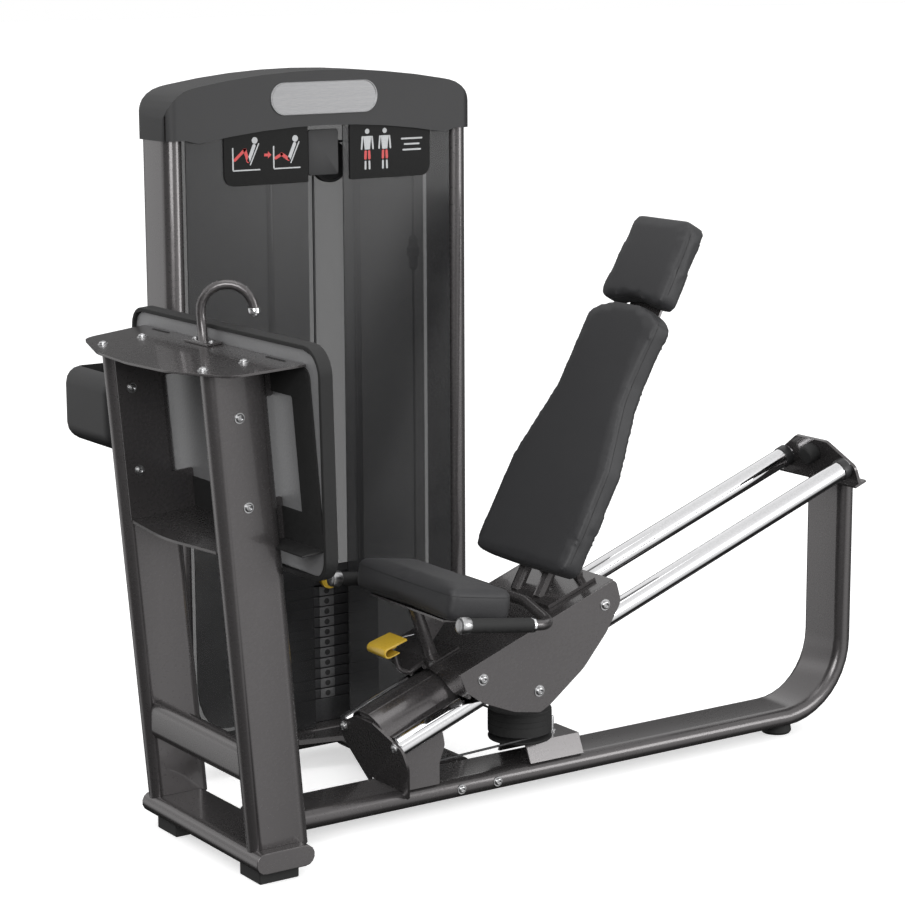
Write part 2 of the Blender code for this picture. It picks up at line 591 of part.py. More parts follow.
# ---- weight tower --------------------------------------------------------------------------
def build_tower():
    parts = []
    mid_y = TOWER_FRONT + TOWER_DEPTH / 2
    reach = TOWER_HALF - TOWER_T / 2
    u_path = [(TOWER_X - reach, mid_y, TOWER_TOP), (TOWER_X - reach, mid_y, TOWER_BASE_Z)]
    u_path += [(TOWER_X + reach, mid_y, TOWER_BASE_Z), (TOWER_X + reach, mid_y, TOWER_TOP)]
    path = rounded(u_path, TOWER_BEND, 9, False)
    parts.append(oval_tube("tower_frame", PAINT, path, 90, TOWER_DEPTH, TOWER_T))
    foot_top = TOWER_BASE_Z - TOWER_T / 2 - GAP
    for name, x in (("tower_foot_left", 0.375), ("tower_foot_right", 0.700)):
        low = (x - 0.035, TOWER_FRONT + 0.015, 0)
        high = (x + 0.035, TOWER_FRONT + TOWER_DEPTH - 0.015, foot_top)
        parts.append(box(name, RUBBER, low, high, 0.003))

    # moulded cowl that caps both columns, arched along its top and its lower edge
    left, right = TOWER_X - TOWER_HALF - 0.004, TOWER_X + TOWER_HALF + 0.004
    crown = 0.045
    radius = ((right - left) ** 2 / 4 + crown ** 2) / (2 * crown)
    sweep = math.degrees(math.asin((right - left) / 2 / radius))
    arch_top = arc((TOWER_X, COWL_TOP - radius), radius, 90 + sweep, 90 - sweep, 10)
    arch_low = [(x, z - 0.125) for x, z in reversed(arch_top)]
    low = [(x, z) for x, z in arch_low if left + 0.05 < x < right - 0.05]
    outline = arch_top + [(right, 1.490), (right - 0.050, 1.490)] + low
    outline += [(left + 0.050, 1.490), (left, 1.490)]
    radii = [0.080] + [0] * (len(arch_top) - 2) + [0.080] + [0] * (len(outline) - len(arch_top))
    outline = rounded(outline, radii, 6)
    cowl = plate("tower_cowl", COWLING, [outline], TOWER_DEPTH + 0.024, (0, mid_y, 0), UPRIGHT_XZ)
    pocket_low = (TOWER_X - TOWER_HALF - GAP, TOWER_FRONT - GAP, 1.40)
    pocket_high = (TOWER_X + TOWER_HALF + GAP, TOWER_FRONT + TOWER_DEPTH + GAP, TOWER_TOP + GAP)
    cut(cowl, box("column_pocket", COWLING, pocket_low, pocket_high))
    corner = [(left, TOWER_FRONT - 0.012), (right, TOWER_FRONT - 0.012)]
    corner += [(right, TOWER_FRONT + TOWER_DEPTH + 0.012), (left, TOWER_FRONT + TOWER_DEPTH + 0.012)]
    cut(cowl, plate("cowl_plan", COWLING, [rounded(corner, 0.028, 5)], 0.5, (0, 0, 1.5)), "INTERSECT")
    parts.append(cowl)

    # smoked front panels either side of the selector slot, and the rear panel
    panel_y = TOWER_FRONT + 0.006
    inner_left = TOWER_X - TOWER_HALF + TOWER_T + 0.002
    inner_right = TOWER_X + TOWER_HALF - TOWER_T - 0.002
    base = TOWER_BASE_Z + TOWER_T / 2 + 0.003
    top = 1.536
    bend = TOWER_BEND - TOWER_T / 2 + 0.004
    left_panel = [(inner_left, base), (0.492, base), (0.492, top), (inner_left, top)]
    right_panel = [(0.588, base), (inner_right, base), (inner_right, top), (0.588, top)]
    rings = [rounded(left_panel, [bend, 0.004, 0.004, 0.004], 7)]
    parts.append(plate("shroud_panel_left", PANEL, rings, 0.004, (0, panel_y, 0), UPRIGHT_XZ))
    port = arc((DRUM[0] + DRUM_GROOVE, DRUM_Z), 0.012, 0, 315, 7)
    rings = [rounded(right_panel, [0.004, bend, 0.004, 0.004], 7), port]
    parts.append(plate("shroud_panel_right", PANEL, rings, 0.004, (0, panel_y, 0), UPRIGHT_XZ))
    rear_y = TOWER_FRONT + TOWER_DEPTH - 0.006
    back = [(inner_left, base), (inner_right, base), (inner_right, top), (inner_left, top)]
    rings = [rounded(back, [bend, bend, 0.004, 0.004], 7)]
    parts.append(plate("shroud_panel_rear", STEEL, rings, 0.003, (0, rear_y, 0), UPRIGHT_XZ))

    placard_y = panel_y - 0.002 - 0.0015 - GAP
    for name, span in (("placard_left", (0.272, 0.492)), ("placard_right", (0.604, 0.826))):
        face = [(span[0], 1.382), (span[1], 1.382), (span[1], 1.530), (span[0], 1.530)]
        radii = [0.025, 0.004, 0.004, 0.004] if "left" in name else [0.004, 0.025, 0.004, 0.004]
        rings = [rounded(face, radii, 4)]
        parts.append(plate(name, PLACARD, rings, 0.003, (0, placard_y, 0), UPRIGHT_XZ))

    rod_low, rod_high = TOWER_BASE_Z + TOWER_T / 2 + GAP, 1.455
    for name, side in (("guide_rod_left", -1), ("guide_rod_right", 1)):
        centre = (STACK_X + side * GUIDE_OFF, CABLE_Y, (rod_low + rod_high) / 2)
        parts.append(cylinder(name, CHROME, 0.0095, rod_high - rod_low, centre, (0, 0, 1), 16))

    # open-topped accessory tray on the tower's left column
    tray_right = TOWER_X - TOWER_HALF - GAP
    low, high = (-0.030, TRAY_Y[0], 0.805), (tray_right, TRAY_Y[1], 0.976)
    tray = box("accessory_tray", COWLING, low, high, 0.040, 4)
    wall = 0.032
    hollow_low = (low[0] + wall, low[1] + wall, low[2] + 0.012)
    hollow_high = (high[0] - 0.020, high[1] - wall, 1.10)
    inside = box("tray_hollow", COWLING, hollow_low, hollow_high, 0.020, 3)
    parts.append(cut(tray, inside))
    return parts


# ---- weight stack -------------------------------------------------------------------------
def stack_holes(target, zs):
    """Bores for the selector pin and the two guide rods."""
    for side in (-1, 1):
        centre = (STACK_X + side * GUIDE_OFF, CABLE_Y, 0.3)
        cut(target, cylinder("rod_bore", IRON, 0.0115, 0.6, centre, (0, 0, 1), 16))
    for z in zs:
        bore = cylinder("pin_bore", IRON, 0.0062, 0.030, (STACK_X, STACK_Y[0] + 0.005, z), (0, 1, 0), 12)
        cut(target, bore)


def build_stack():
    fixed, lifted, pin_parts = [], [], []
    low_top = STACK_Z0 + LOWER_PLATES * PLATE_PITCH
    x0, x1 = STACK_X - STACK_HALF, STACK_X + STACK_HALF
    rest = box("weight_stack_rest", IRON, (x0, STACK_Y[0], 0.0808), (x1, STACK_Y[1], low_top - 0.0008))
    groove_z = [STACK_Z0 + k * PLATE_PITCH for k in range(LOWER_PLATES)]
    for k, z in enumerate(groove_z):
        low, high = (x0 - 0.01, STACK_Y[0] - 0.01, z - 0.001), (x1 + 0.01, STACK_Y[0] + 0.004, z + 0.001)
        cut(rest, box("groove", IRON, low, high))
    stack_holes(rest, [z + PLATE_PITCH / 2 for z in groove_z])
    fixed.append(rest)

    low, high = (x0, STACK_Y[0], low_top + 0.0008), (x1, STACK_Y[1], low_top + PLATE_PITCH + 0.006)
    head = box("weight_top_plate", IRON, low, high, 0.002, 1)
    boss = cylinder("stem", IRON, 0.012, 0.060, (STACK_X, CABLE_Y, low_top + 0.055), (0, 0, 1), 20)
    cut(head, boss, "UNION")
    pin_z = low_top + PLATE_PITCH / 2
    stack_holes(head, [pin_z])
    lifted.append(head)

    cable_low, cable_high = low_top + 0.0854, TOP_PULLEY_Z - GAP
    centre = (STACK_X, CABLE_Y, (cable_low + cable_high) / 2)
    lifted.append(cylinder("stack_cable", STEEL, CABLE_R, cable_high - cable_low, centre, (0, 0, 1), 10))

    shank = [(0, 0.020), (0.0050, 0.020), (0.0050, -0.010), (0.0, -0.010)]
    pin = lathe("selector_pin", YELLOW, shank, (STACK_X, STACK_Y[0] - 0.0005, pin_z), (0, 1, 0), 16)
    half_disc = [(x, z) for x, z in arc((0, 0), 0.024, 180, 360, 12)]
    knob_at = (STACK_X, STACK_Y[0] - 0.014, pin_z + 0.007)
    knob = plate("pin_knob", YELLOW, [half_disc], 0.012, knob_at, UPRIGHT_XZ)
    pin_parts.append(cut(pin, knob, "UNION"))
    return fixed, lifted, pin_parts


# ---- rack that takes the cable's pull -------------------------------------------------------
RACK_U = (-0.352, 0.090)


def build_rack():
    parts = []
    outer, inner = [], []
    half, high, skin = 0.072, 0.062, 0.003
    for k in range(13):
        a = math.pi * k / 12
        outer.append((half * math.cos(a), 0.004 + (high - 0.004) * math.sin(a)))
        inner.append(((half - skin) * math.cos(a), 0.004 + (high - skin - 0.004) * math.sin(a)))
    outline = outer + [(-half, -0.010), (-half + skin, -0.010)] + inner[::-1]
    outline += [(half - skin, -0.010), (half, -0.010)]
    outline = [p for i, p in enumerate(outline) if i == 0 or p != outline[i - 1]]
    length = RACK_U[1] - RACK_U[0]
    rack = square_plate("adjust_rack", PAINT, [outline], length, sum(RACK_U) / 2)
    spine = box("spine", PAINT, (-length / 2, -0.020, -0.006), (length / 2, 0.020, 0.006))
    spine.location = on_carriage(sum(RACK_U) / 2, 0, high - 0.007)
    spine.rotation_euler = TILTED
    cut(rack, spine, "UNION")
    lug = box("cable_lug", PAINT, (-0.012, -0.071, -0.008), (0.012, -0.030, 0.008))
    lug.location = on_carriage(-0.200, -0.0505, 0.012)
    lug.rotation_euler = TILTED
    cut(rack, lug, "UNION")
    parts.append(rack)

    take_off = math.radians(CABLE_TAKE_OFF)
    start = FRONT_PULLEY + Vector((math.cos(take_off), 0, math.sin(take_off))) * FRONT_PULLEY_R
    finish = on_carriage(-0.2145, -DRUM_GROOVE, 0.012)
    span = finish - start
    begin = start + span.normalized() * 0.0025
    run = finish - begin
    parts.append(cylinder("rack_cable", STEEL, CABLE_R, run.length, (begin + finish) / 2, run, 10))
    return parts


# ---- carriage ------------------------------------------------------------------------------
def build_carriage():
    parts = []
    cheek = [(-0.175, 0.097), (0.281, 0.097), (0.277, 0.040), (0.215, -0.008), (0.130, -0.055)]
    cheek += [(0.020, -0.088), (-0.012, -0.092), (-0.074, -0.056), (-0.140, 0.004), (-0.172, 0.048)]
    radii = [0.004, 0.012, 0.030, 0.08, 0.10, 0.02, 0.02, 0.10, 0.04, 0.03]
    ring = rounded(cheek, radii, 3)
    for name, side in (("carriage_side_near", -1), ("carriage_side_far", 1)):
        parts.append(tilted_plate(name, PAINT, [ring], PLATE, side * SIDE_Y))

    # tie plate: an arched front, a floor above the rollers and a rear fold
    inner = SIDE_Y - PLATE / 2 - GAP
    turns = [math.pi * k / 12 for k in range(13)]
    arch = [(0.084 * math.cos(a), 0.006 + 0.068 * math.sin(a)) for a in turns]
    front = [(-inner, 0.030), (-0.084, 0.030)] + [p for p in reversed(arch) if p[1] > 0.032]
    front += [(0.084, 0.030), (inner, 0.030), (inner, 0.097), (-inner, 0.097)]
    tie = square_plate("carriage_tie_plate", PAINT, [front], PLATE, -0.166)
    cut(tie, carriage_box("tie_floor", (-0.168, -inner, 0.0920), (0.277, inner, 0.0970)), "UNION")
    cut(tie, carriage_box("tie_rear", (0.271, -inner, 0.060), (0.277, inner, 0.0965)), "UNION")
    parts.append(tie)
    return parts


def carriage_box(name, low, high):
    """A box between two corners given along, across and above the rails."""
    obj = box(name, PAINT, low, high)
    shape = obj.matrix_basis.copy()
    obj.matrix_world = Matrix.Translation(CARRIAGE_AT) @ Matrix.Rotation(-RAIL_ANGLE, 4, "Y") @ shape
    return obj


def pad_points(width_low, width_high, height):
    return [(-width_low / 2, 0), (width_low / 2, 0), (width_high / 2, height), (-width_high / 2, height)]


BACK_ANGLE = math.radians(61.0)   # backrest, from the floor
BACK_UP = Vector((math.cos(BACK_ANGLE), 0, math.sin(BACK_ANGLE)))
BACK_NORMAL = Vector((-math.sin(BACK_ANGLE), 0, math.cos(BACK_ANGLE)))
BACK_FOOT = Vector((0.7644, 0, 0.550))      # foot of the back pad's front face
PAD_T = 0.055
SEAT_TILT = math.radians(9.0)
SEAT_AT = Vector((0.533, 0, 0.505))        # middle of the seat pad
SEAT_SIZE = Vector((0.170, 0.395, 0.078))


def back_pad(name, outline, radii, start):
    """A pad lying on the backrest plane; its outline is (across, up) from its own foot."""
    middle = BACK_FOOT + BACK_UP * start - BACK_NORMAL * (PAD_T / 2)
    obj = curve_object(name, [rounded(outline, radii, 5)], True, "2D")
    obj.data.fill_mode = "BOTH"
    obj.data.extrude = PAD_T / 2
    side = Vector((0, -1, 0))
    frame = Matrix((side, BACK_UP, BACK_NORMAL)).transposed().to_4x4()
    frame.translation = middle
    obj.matrix_world = frame
    return bevel(to_mesh(obj, VINYL), 0.018, 3, 50)


def build_seat():
    parts = []
    seat = box("seat_pad", VINYL, -SEAT_SIZE / 2, SEAT_SIZE / 2, 0.020, 3)
    seat.location = SEAT_AT
    seat.rotation_euler = (0, SEAT_TILT, 0)
    parts.append(seat)
    hips = [(0.177, -0.011), (0.180, 0.120), (0.176, 0.245), (0.130, 0.415), (0.128, 0.520)]
    shoulder = [(0.131, 0.604), (0.095, 0.626), (0.050, 0.638)]
    near = hips + shoulder
    waist = near + [(-x, y) for x, y in reversed(near)]
    radii = [0.030, 0.200, 0.120, 0.200, 0.300, 0.018, 0.050, 0.100]
    parts.append(back_pad("back_pad", waist, radii + radii[::-1], 0.0))
    head = [(-0.120, 0), (0, 0.014), (0.120, 0), (0.105, 0.218), (-0.105, 0.218)]
    parts.append(back_pad("head_pad", head, [0.025, 0.3, 0.025, 0.025, 0.025], 0.638))

    # welded back frame: a sole, two struts, a rear brace and the plate behind the pads
    behind = BACK_FOOT - BACK_NORMAL * (PAD_T + GAP + 0.003)
    spine = plate("back_frame", PAINT, [pad_points(0.150, 0.110, 0.740)], 0.006)
    frame = Matrix((Vector((0, -1, 0)), BACK_UP, BACK_NORMAL)).transposed().to_4x4()
    frame.translation = behind + BACK_UP * 0.060
    spine.matrix_world = frame
    tube_back = BACK_NORMAL * 0.012
    for side in (-1, 1):
        across = Vector((0, side * 0.045, 0))
        foot = behind - BACK_UP * 0.066 - tube_back + across
        top = behind + BACK_UP * 0.300 - tube_back + across
        cut(spine, round_tube(f"strut_{side}", PAINT, [foot, top], 0.0145, 2), "UNION")
        brace_top = behind + BACK_UP * 0.100 - tube_back + Vector((0, side * 0.070, 0))
        brace_foot = on_carriage(0.236, side * 0.070, 0.103)
        cut(spine, round_tube(f"brace_{side}", PAINT, [brace_foot, brace_top], 0.0115, 2), "UNION")
    cut(spine, carriage_box("sole", (0.115, -0.110, 0.0976), (0.255, 0.110, 0.1056)), "UNION")
    cut(spine, carriage_box("sole_under", (0.000, -0.200, 0.040), (0.400, 0.200, 0.0976)))
    parts.append(spine)

    # seat post: square to the rails, from the tie plate to the pan under the seat
    under = Matrix.Translation(SEAT_AT) @ Matrix.Rotation(SEAT_TILT, 4, "Y")
    pan_top = -SEAT_SIZE.z / 2 - GAP
    pan = box("seat_post", PAINT, (-0.065, -0.150, pan_top - 0.005), (0.065, 0.150, pan_top))
    pan.matrix_world = under @ pan.matrix_basis
    post_u = -0.148
    head_at = on_carriage(post_u, 0, 0.222)
    foot = on_carriage(post_u, 0, 0.100)
    cut(pan, oval_tube("post_tube", PAINT, [foot, head_at], 90, 0.030, 0.028), "UNION")
    cut(pan, carriage_box("post_sole", (-0.168, -0.050, 0.0976), (-0.100, 0.050, 0.1026)), "UNION")
    fin = [(-0.145, 0.118), (-0.145, 0.215), (-0.080, 0.200), (-0.080, 0.155)]
    cut(pan, tilted_plate("post_fin", PAINT, [fin], 0.005, 0), "UNION")
    above = box("above_pan", PAINT, (-0.2, -0.2, pan_top), (0.2, 0.2, pan_top + 0.06))
    above.matrix_world = under @ above.matrix_basis
    cut(pan, above)
    parts.append(pan)
    return parts


HANDLE_FRONT = Vector((0.425, 0.262, 0.4925))
HANDLE_REAR = Vector((0.672, 0.262, 0.4580))


def build_handles():
    parts = []
    near = Vector((1, -1, 1))
    middle_x, middle_z = HANDLE_REAR.x + 0.030, HANDLE_REAR.z + 0.020
    path = [HANDLE_FRONT * near, HANDLE_REAR * near, (middle_x, -0.120, middle_z)]
    path += [(middle_x, 0.120, middle_z), HANDLE_REAR, HANDLE_FRONT]
    path = rounded(path, [0, 0.040, 0.05, 0.05, 0.040, 0], 6, False)
    bar = round_tube("handle_bar", PAINT, path, 0.0125, 2)
    along = (HANDLE_REAR - HANDLE_FRONT).normalized()
    for name, mirror in (("near", near), ("far", Vector((1, 1, 1)))):
        start = HANDLE_FRONT * mirror
        knob = cylinder(f"knob_{name}", CHROME, 0.0185, 0.028, start + along * 0.006, along, 20)
        cut(bar, knob, "UNION")
        middle = start + along * 0.106
        grip = cylinder(f"grip_{name}", RUBBER, 0.0162, 0.168, middle, along, 20)
        parts.append(cut(grip, cylinder(f"bore_{name}", RUBBER, 0.0130, 0.2, middle, along, 20)))
    parts.append(bar)
    return parts


LEVER_AT = on_carriage(-0.1700, 0, 0.150)


def build_lever():
    """Seat adjusting lever: a hand paddle on a rod pivoted at the seat post, with the lock's pull rod."""
    lever = cylinder("adjust_lever", CHROME, 0.006, 0.034, LEVER_AT, (0, 1, 0), 16)
    centre = Vector((0.413, 0, 0.400))
    arm = round_tube("lever_arm", CHROME, [LEVER_AT, centre + Vector((0.020, 0, 0.008))], 0.0042, 2)
    cut(lever, arm, "UNION")
    paddle = box("paddle", YELLOW, (-0.033, -0.037, -0.008), (0.033, 0.037, 0.008), 0.0075, 2)
    paddle.location = centre
    paddle.rotation_euler = (0, -math.radians(17), 0)
    cut(lever, paddle, "UNION")
    pull = [centre + Vector((0.014, 0, -0.002)), (0.440, 0, 0.340), (0.470, 0, 0.3235)]
    pull.append(on_carriage(-0.1715, 0, 0.077))
    path = rounded(pull, [0, 0.018, 0.03, 0], 4, False)
    return [cut(lever, round_tube("pull_rod", CHROME, path, 0.004, 2), "UNION")]


def build_rollers():
    parts = []
    for end, u in zip(("front", "rear"), ROLLER_U):
        for side_name, side in (("near", -1), ("far", 1)):
            waist = ROLLER_W - RAIL_R - 0.001
            rim = waist + 0.003
            profile = [(0, 0.019), (rim, 0.019)]
            for k in range(5):
                a = math.radians(27 - 54 * k / 4)
                curve = RAIL_R + 0.001
                profile.append((ROLLER_W - curve * math.cos(a), curve * math.sin(a)))
            profile += [(rim, -0.019), (0, -0.019)]
            centre = on_carriage(u, side * RAIL_Y, ROLLER_W)
            parts.append(lathe(f"roller_{end}_{side_name}", RUBBER, profile, centre, (0, 1, 0), 20))
    return parts


# ---- assembly -----------------------------------------------------------------------------
def main():
    machine = empty("machine", (0, 0, 0))
    rack = empty("rack_slide", CARRIAGE_AT, TILTED)
    carriage = empty("carriage_slide", CARRIAGE_AT, TILTED)
    stack = empty("stack_slide", (STACK_X, CABLE_Y, 0))
    pin = empty("pin_slide", (STACK_X, STACK_Y[0], 0))
    lever = empty("lever_hinge", LEVER_AT)

    fixed = build_floor_frame() + build_legs() + build_footplate() + build_rails()
    fixed += build_pulleys() + build_cable() + build_tower()
    stack_fixed, lifted, pin_parts = build_stack()
    groups = [(machine, fixed + stack_fixed), (stack, lifted), (pin, pin_parts), (rack, build_rack())]
    groups.append((carriage, build_carriage() + build_seat() + build_handles() + build_rollers()))
    groups.append((lever, build_lever()))
    for parent, parts in groups:
        for part in parts:
            hold(part, parent)
    hold(pin, stack)
    hold(lever, carriage)
    hold(carriage, rack)
    hold(rack, machine)
    hold(stack, machine)
    for tool in list(GUIDES.objects):
        if tool.parent is None and tool is not machine:
            hold(tool, machine)
    machine.location = SHIFT


main()
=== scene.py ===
"""Looks of the seated leg press: materials, pads, wheels, weight plates, fasteners, studio."""
import json
import math

import bmesh
import bpy
from mathutils import Matrix, Vector


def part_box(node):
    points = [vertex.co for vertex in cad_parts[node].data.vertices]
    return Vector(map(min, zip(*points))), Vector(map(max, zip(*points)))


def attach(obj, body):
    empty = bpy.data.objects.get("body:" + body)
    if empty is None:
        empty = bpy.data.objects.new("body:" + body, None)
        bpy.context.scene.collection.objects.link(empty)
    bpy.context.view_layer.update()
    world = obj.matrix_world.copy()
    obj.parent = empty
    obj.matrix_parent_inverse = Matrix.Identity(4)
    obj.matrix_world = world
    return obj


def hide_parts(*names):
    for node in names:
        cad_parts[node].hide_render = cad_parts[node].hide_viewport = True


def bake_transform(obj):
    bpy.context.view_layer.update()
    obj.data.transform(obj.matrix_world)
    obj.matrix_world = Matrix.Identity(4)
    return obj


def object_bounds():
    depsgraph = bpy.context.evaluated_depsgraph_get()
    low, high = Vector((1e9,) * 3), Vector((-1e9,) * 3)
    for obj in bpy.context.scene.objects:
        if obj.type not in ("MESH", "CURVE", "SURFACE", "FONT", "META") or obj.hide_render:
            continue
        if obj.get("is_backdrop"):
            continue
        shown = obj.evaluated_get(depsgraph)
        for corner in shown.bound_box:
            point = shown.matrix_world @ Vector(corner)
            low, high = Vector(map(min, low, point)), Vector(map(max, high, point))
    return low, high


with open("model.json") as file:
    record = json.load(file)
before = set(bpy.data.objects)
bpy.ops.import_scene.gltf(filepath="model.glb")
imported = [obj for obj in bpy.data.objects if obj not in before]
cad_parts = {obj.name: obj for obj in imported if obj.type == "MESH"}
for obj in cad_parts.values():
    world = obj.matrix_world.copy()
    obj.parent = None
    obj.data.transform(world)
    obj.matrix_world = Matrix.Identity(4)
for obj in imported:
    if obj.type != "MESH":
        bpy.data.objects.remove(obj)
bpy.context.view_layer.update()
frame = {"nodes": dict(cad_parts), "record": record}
NODES = frame["nodes"]

SHIFT = Vector((-0.76605, -0.1525, 0.0))      # machine frame to row frame
SLOPE = math.radians(20.2)                    # rails above the floor
ALONG = Vector((math.cos(SLOPE), 0, math.sin(SLOPE)))
ACROSS = Vector((-math.sin(SLOPE), 0, math.cos(SLOPE)))
CARRIAGE = Vector((0.700, 0, 0.0583 + 0.700 * math.tan(SLOPE)))
LEAN = math.radians(4.75)                     # legs lean away from the seat
TOWER_X = 0.530


def at(x, y, z):
    return Vector((x, y, z)) + SHIFT


def on_carriage(u, y, w):
    return CARRIAGE + ALONG * u + ACROSS * w + Vector((0, y, 0)) + SHIFT


def leaned(x, y, z):
    foot = Vector((0.008, 0.015, 0.0525))
    turn = Matrix.Rotation(-LEAN, 3, "Y")
    return foot + turn @ (Vector((x, y, z)) - Vector((0.008, 0, 0.0525))) + SHIFT


LEAN_UP = Matrix.Rotation(-LEAN, 3, "Y") @ Vector((0, 0, 1))


# ---- materials ----------------------------------------------------------------------------
def surface(name, dark, light, metallic=0.0, rough=(0.4, 0.5), grain=40.0, stretch=(1, 1, 1),
            bump=0.05, bump_scale=400.0, cells=False, coat=0.0, coat_rough=0.1, alpha=1.0,
            sheen=0.0, smudge=0.25, specular=0.5, glow=0.0):
    """A procedural finish: two-tone grain, smudged roughness and a fine relief."""
    mat = bpy.data.materials.new(name)
    mat.use_nodes = True
    tree = mat.node_tree
    new, link = tree.nodes.new, tree.links.new
    shader = tree.nodes["Principled BSDF"]
    shader.inputs["Metallic"].default_value = metallic
    shader.inputs["Coat Weight"].default_value = coat
    shader.inputs["Coat Roughness"].default_value = coat_rough
    shader.inputs["Sheen Weight"].default_value = sheen
    shader.inputs["Alpha"].default_value = alpha
    shader.inputs["Specular IOR Level"].default_value = specular
    shader.inputs["Emission Color"].default_value = (1, 1, 1, 1)
    shader.inputs["Emission Strength"].default_value = glow
    where = new("ShaderNodeTexCoord")
    mapping = new("ShaderNodeMapping")
    mapping.inputs["Scale"].default_value = stretch
    link(where.outputs["Object"], mapping.inputs["Vector"])

    def noise(scale, detail):
        node = new("ShaderNodeTexNoise")
        node.inputs["Scale"].default_value = scale
        node.inputs["Detail"].default_value = detail
        link(mapping.outputs["Vector"], node.inputs["Vector"])
        return node.outputs["Fac"]

    fine, broad = noise(grain, 6), noise(3.5, 3)
    mix = new("ShaderNodeMath")
    mix.operation = "MULTIPLY_ADD"
    mix.inputs[1].default_value = smudge
    link(broad, mix.inputs[0])
    scaled = new("ShaderNodeMath")
    scaled.operation = "MULTIPLY"
    scaled.inputs[1].default_value = 1 - smudge
    link(fine, scaled.inputs[0])
    link(scaled.outputs[0], mix.inputs[2])
    ramp = new("ShaderNodeValToRGB")
    ramp.color_ramp.elements[0].position = 0.32
    ramp.color_ramp.elements[1].position = 0.68
    ramp.color_ramp.elements[0].color = (*dark, 1)
    ramp.color_ramp.elements[1].color = (*light, 1)
    link(mix.outputs[0], ramp.inputs["Fac"])
    link(ramp.outputs["Color"], shader.inputs["Base Color"])
    worn = new("ShaderNodeMapRange")
    worn.inputs["From Min"].default_value = 0.3
    worn.inputs["From Max"].default_value = 0.7
    worn.inputs["To Min"].default_value = rough[0]
    worn.inputs["To Max"].default_value = rough[1]
    link(mix.outputs[0], worn.inputs["Value"])
    link(worn.outputs["Result"], shader.inputs["Roughness"])
    relief = new("ShaderNodeBump")
    relief.inputs["Strength"].default_value = bump
    relief.inputs["Distance"].default_value = 0.0006
    if cells:
        cell = new("ShaderNodeTexVoronoi")
        cell.inputs["Scale"].default_value = bump_scale
        link(mapping.outputs["Vector"], cell.inputs["Vector"])
        link(cell.outputs["Distance"], relief.inputs["Height"])
    else:
        link(noise(bump_scale, 3), relief.inputs["Height"])
    link(relief.outputs["Normal"], shader.inputs["Normal"])
    return mat


PAINT = surface("frame_paint", (0.094, 0.088, 0.089), (0.106, 0.100, 0.101), 0.62,
                (0.25, 0.30), 120, bump=0.0, bump_scale=300, coat=0.45, coat_rough=0.06,
                smudge=0.5)
RUBBER = surface("black_rubber", (0.010, 0.010, 0.010), (0.022, 0.022, 0.022), 0,
                 (0.62, 0.82), 160, bump=0.25, bump_scale=700)
STEEL = surface("light_steel", (0.24, 0.24, 0.245), (0.32, 0.32, 0.325), 0.25,
                (0.38, 0.50), 500, bump=0.5, bump_scale=150, cells=True)
CHROME = surface("chrome", (0.80, 0.80, 0.81), (0.92, 0.92, 0.93), 1.0,
                 (0.035, 0.07), 220, bump=0.0, bump_scale=900)
BRIGHT = surface("bright_steel", (0.44, 0.44, 0.445), (0.60, 0.60, 0.605), 1.0,
                 (0.26, 0.38), 400, bump=0.05, bump_scale=900)
COWL = surface("cowl_plastic", (0.019, 0.019, 0.020), (0.025, 0.025, 0.026), 0,
               (0.46, 0.58), 600, bump=0.14, bump_scale=850, cells=True)
SMOKED = surface("smoked_panel", (0.032, 0.032, 0.033), (0.037, 0.037, 0.038), 0,
                 (0.20, 0.24), 30, bump=0.0, bump_scale=120, alpha=0.70, specular=0.22)
PLACARD = surface("placard_black", (0.005, 0.005, 0.005), (0.009, 0.009, 0.009), 0,
                  (0.34, 0.42), 80, bump=0.0, bump_scale=300, specular=0.10)
IRON = surface("weight_iron", (0.018, 0.018, 0.019), (0.036, 0.036, 0.038), 0.2,
               (0.38, 0.55), 300, bump=0.20, bump_scale=420)
YELLOW = surface("yellow_plastic", (0.56, 0.36, 0.030), (0.66, 0.44, 0.045), 0,
                 (0.26, 0.38), 260, bump=0.06, bump_scale=500, coat=0.3)
VINYL = surface("charcoal_vinyl", (0.026, 0.026, 0.028), (0.038, 0.038, 0.040), 0,
                (0.46, 0.60), 260, bump=0.34, bump_scale=620, cells=True, sheen=0.04)
THREAD = surface("seam_thread", (0.018, 0.018, 0.019), (0.030, 0.030, 0.031), 0,
                 (0.6, 0.75), 900, bump=0.3, bump_scale=1500)
CABLE = surface("cable_jacket", (0.020, 0.020, 0.021), (0.060, 0.060, 0.062), 0.1,
                (0.35, 0.50), 700, bump=0.25, bump_scale=1400)
TYRE = surface("roller_urethane", (0.012, 0.012, 0.013), (0.026, 0.026, 0.027), 0,
               (0.30, 0.45), 200, bump=0.06, bump_scale=500)
NYLON = surface("pulley_nylon", (0.020, 0.020, 0.021), (0.034, 0.034, 0.035), 0,
                (0.34, 0.48), 260, bump=0.10, bump_scale=600)
BADGE = surface("badge_silver", (0.20, 0.20, 0.205), (0.32, 0.32, 0.325), 0.60,
                (0.38, 0.50), 60, stretch=(1, 1, 40), bump=0.02, bump_scale=200)
INK_PALE = surface("ink_pale", (0.42, 0.43, 0.44), (0.52, 0.53, 0.54), 0, (0.3, 0.4), 300)
INK_RED = surface("ink_red", (0.50, 0.020, 0.020), (0.62, 0.030, 0.028), 0, (0.3, 0.4), 300)

REAR = surface("smoked_rear", (0.040, 0.040, 0.041), (0.050, 0.050, 0.051), 0,
               (0.30, 0.36), 30, bump=0.0, alpha=0.66, specular=0.2)
STRIP = surface("plate_strip", (0.120, 0.120, 0.122), (0.150, 0.150, 0.152), 0.3,
                (0.35, 0.45), 300)

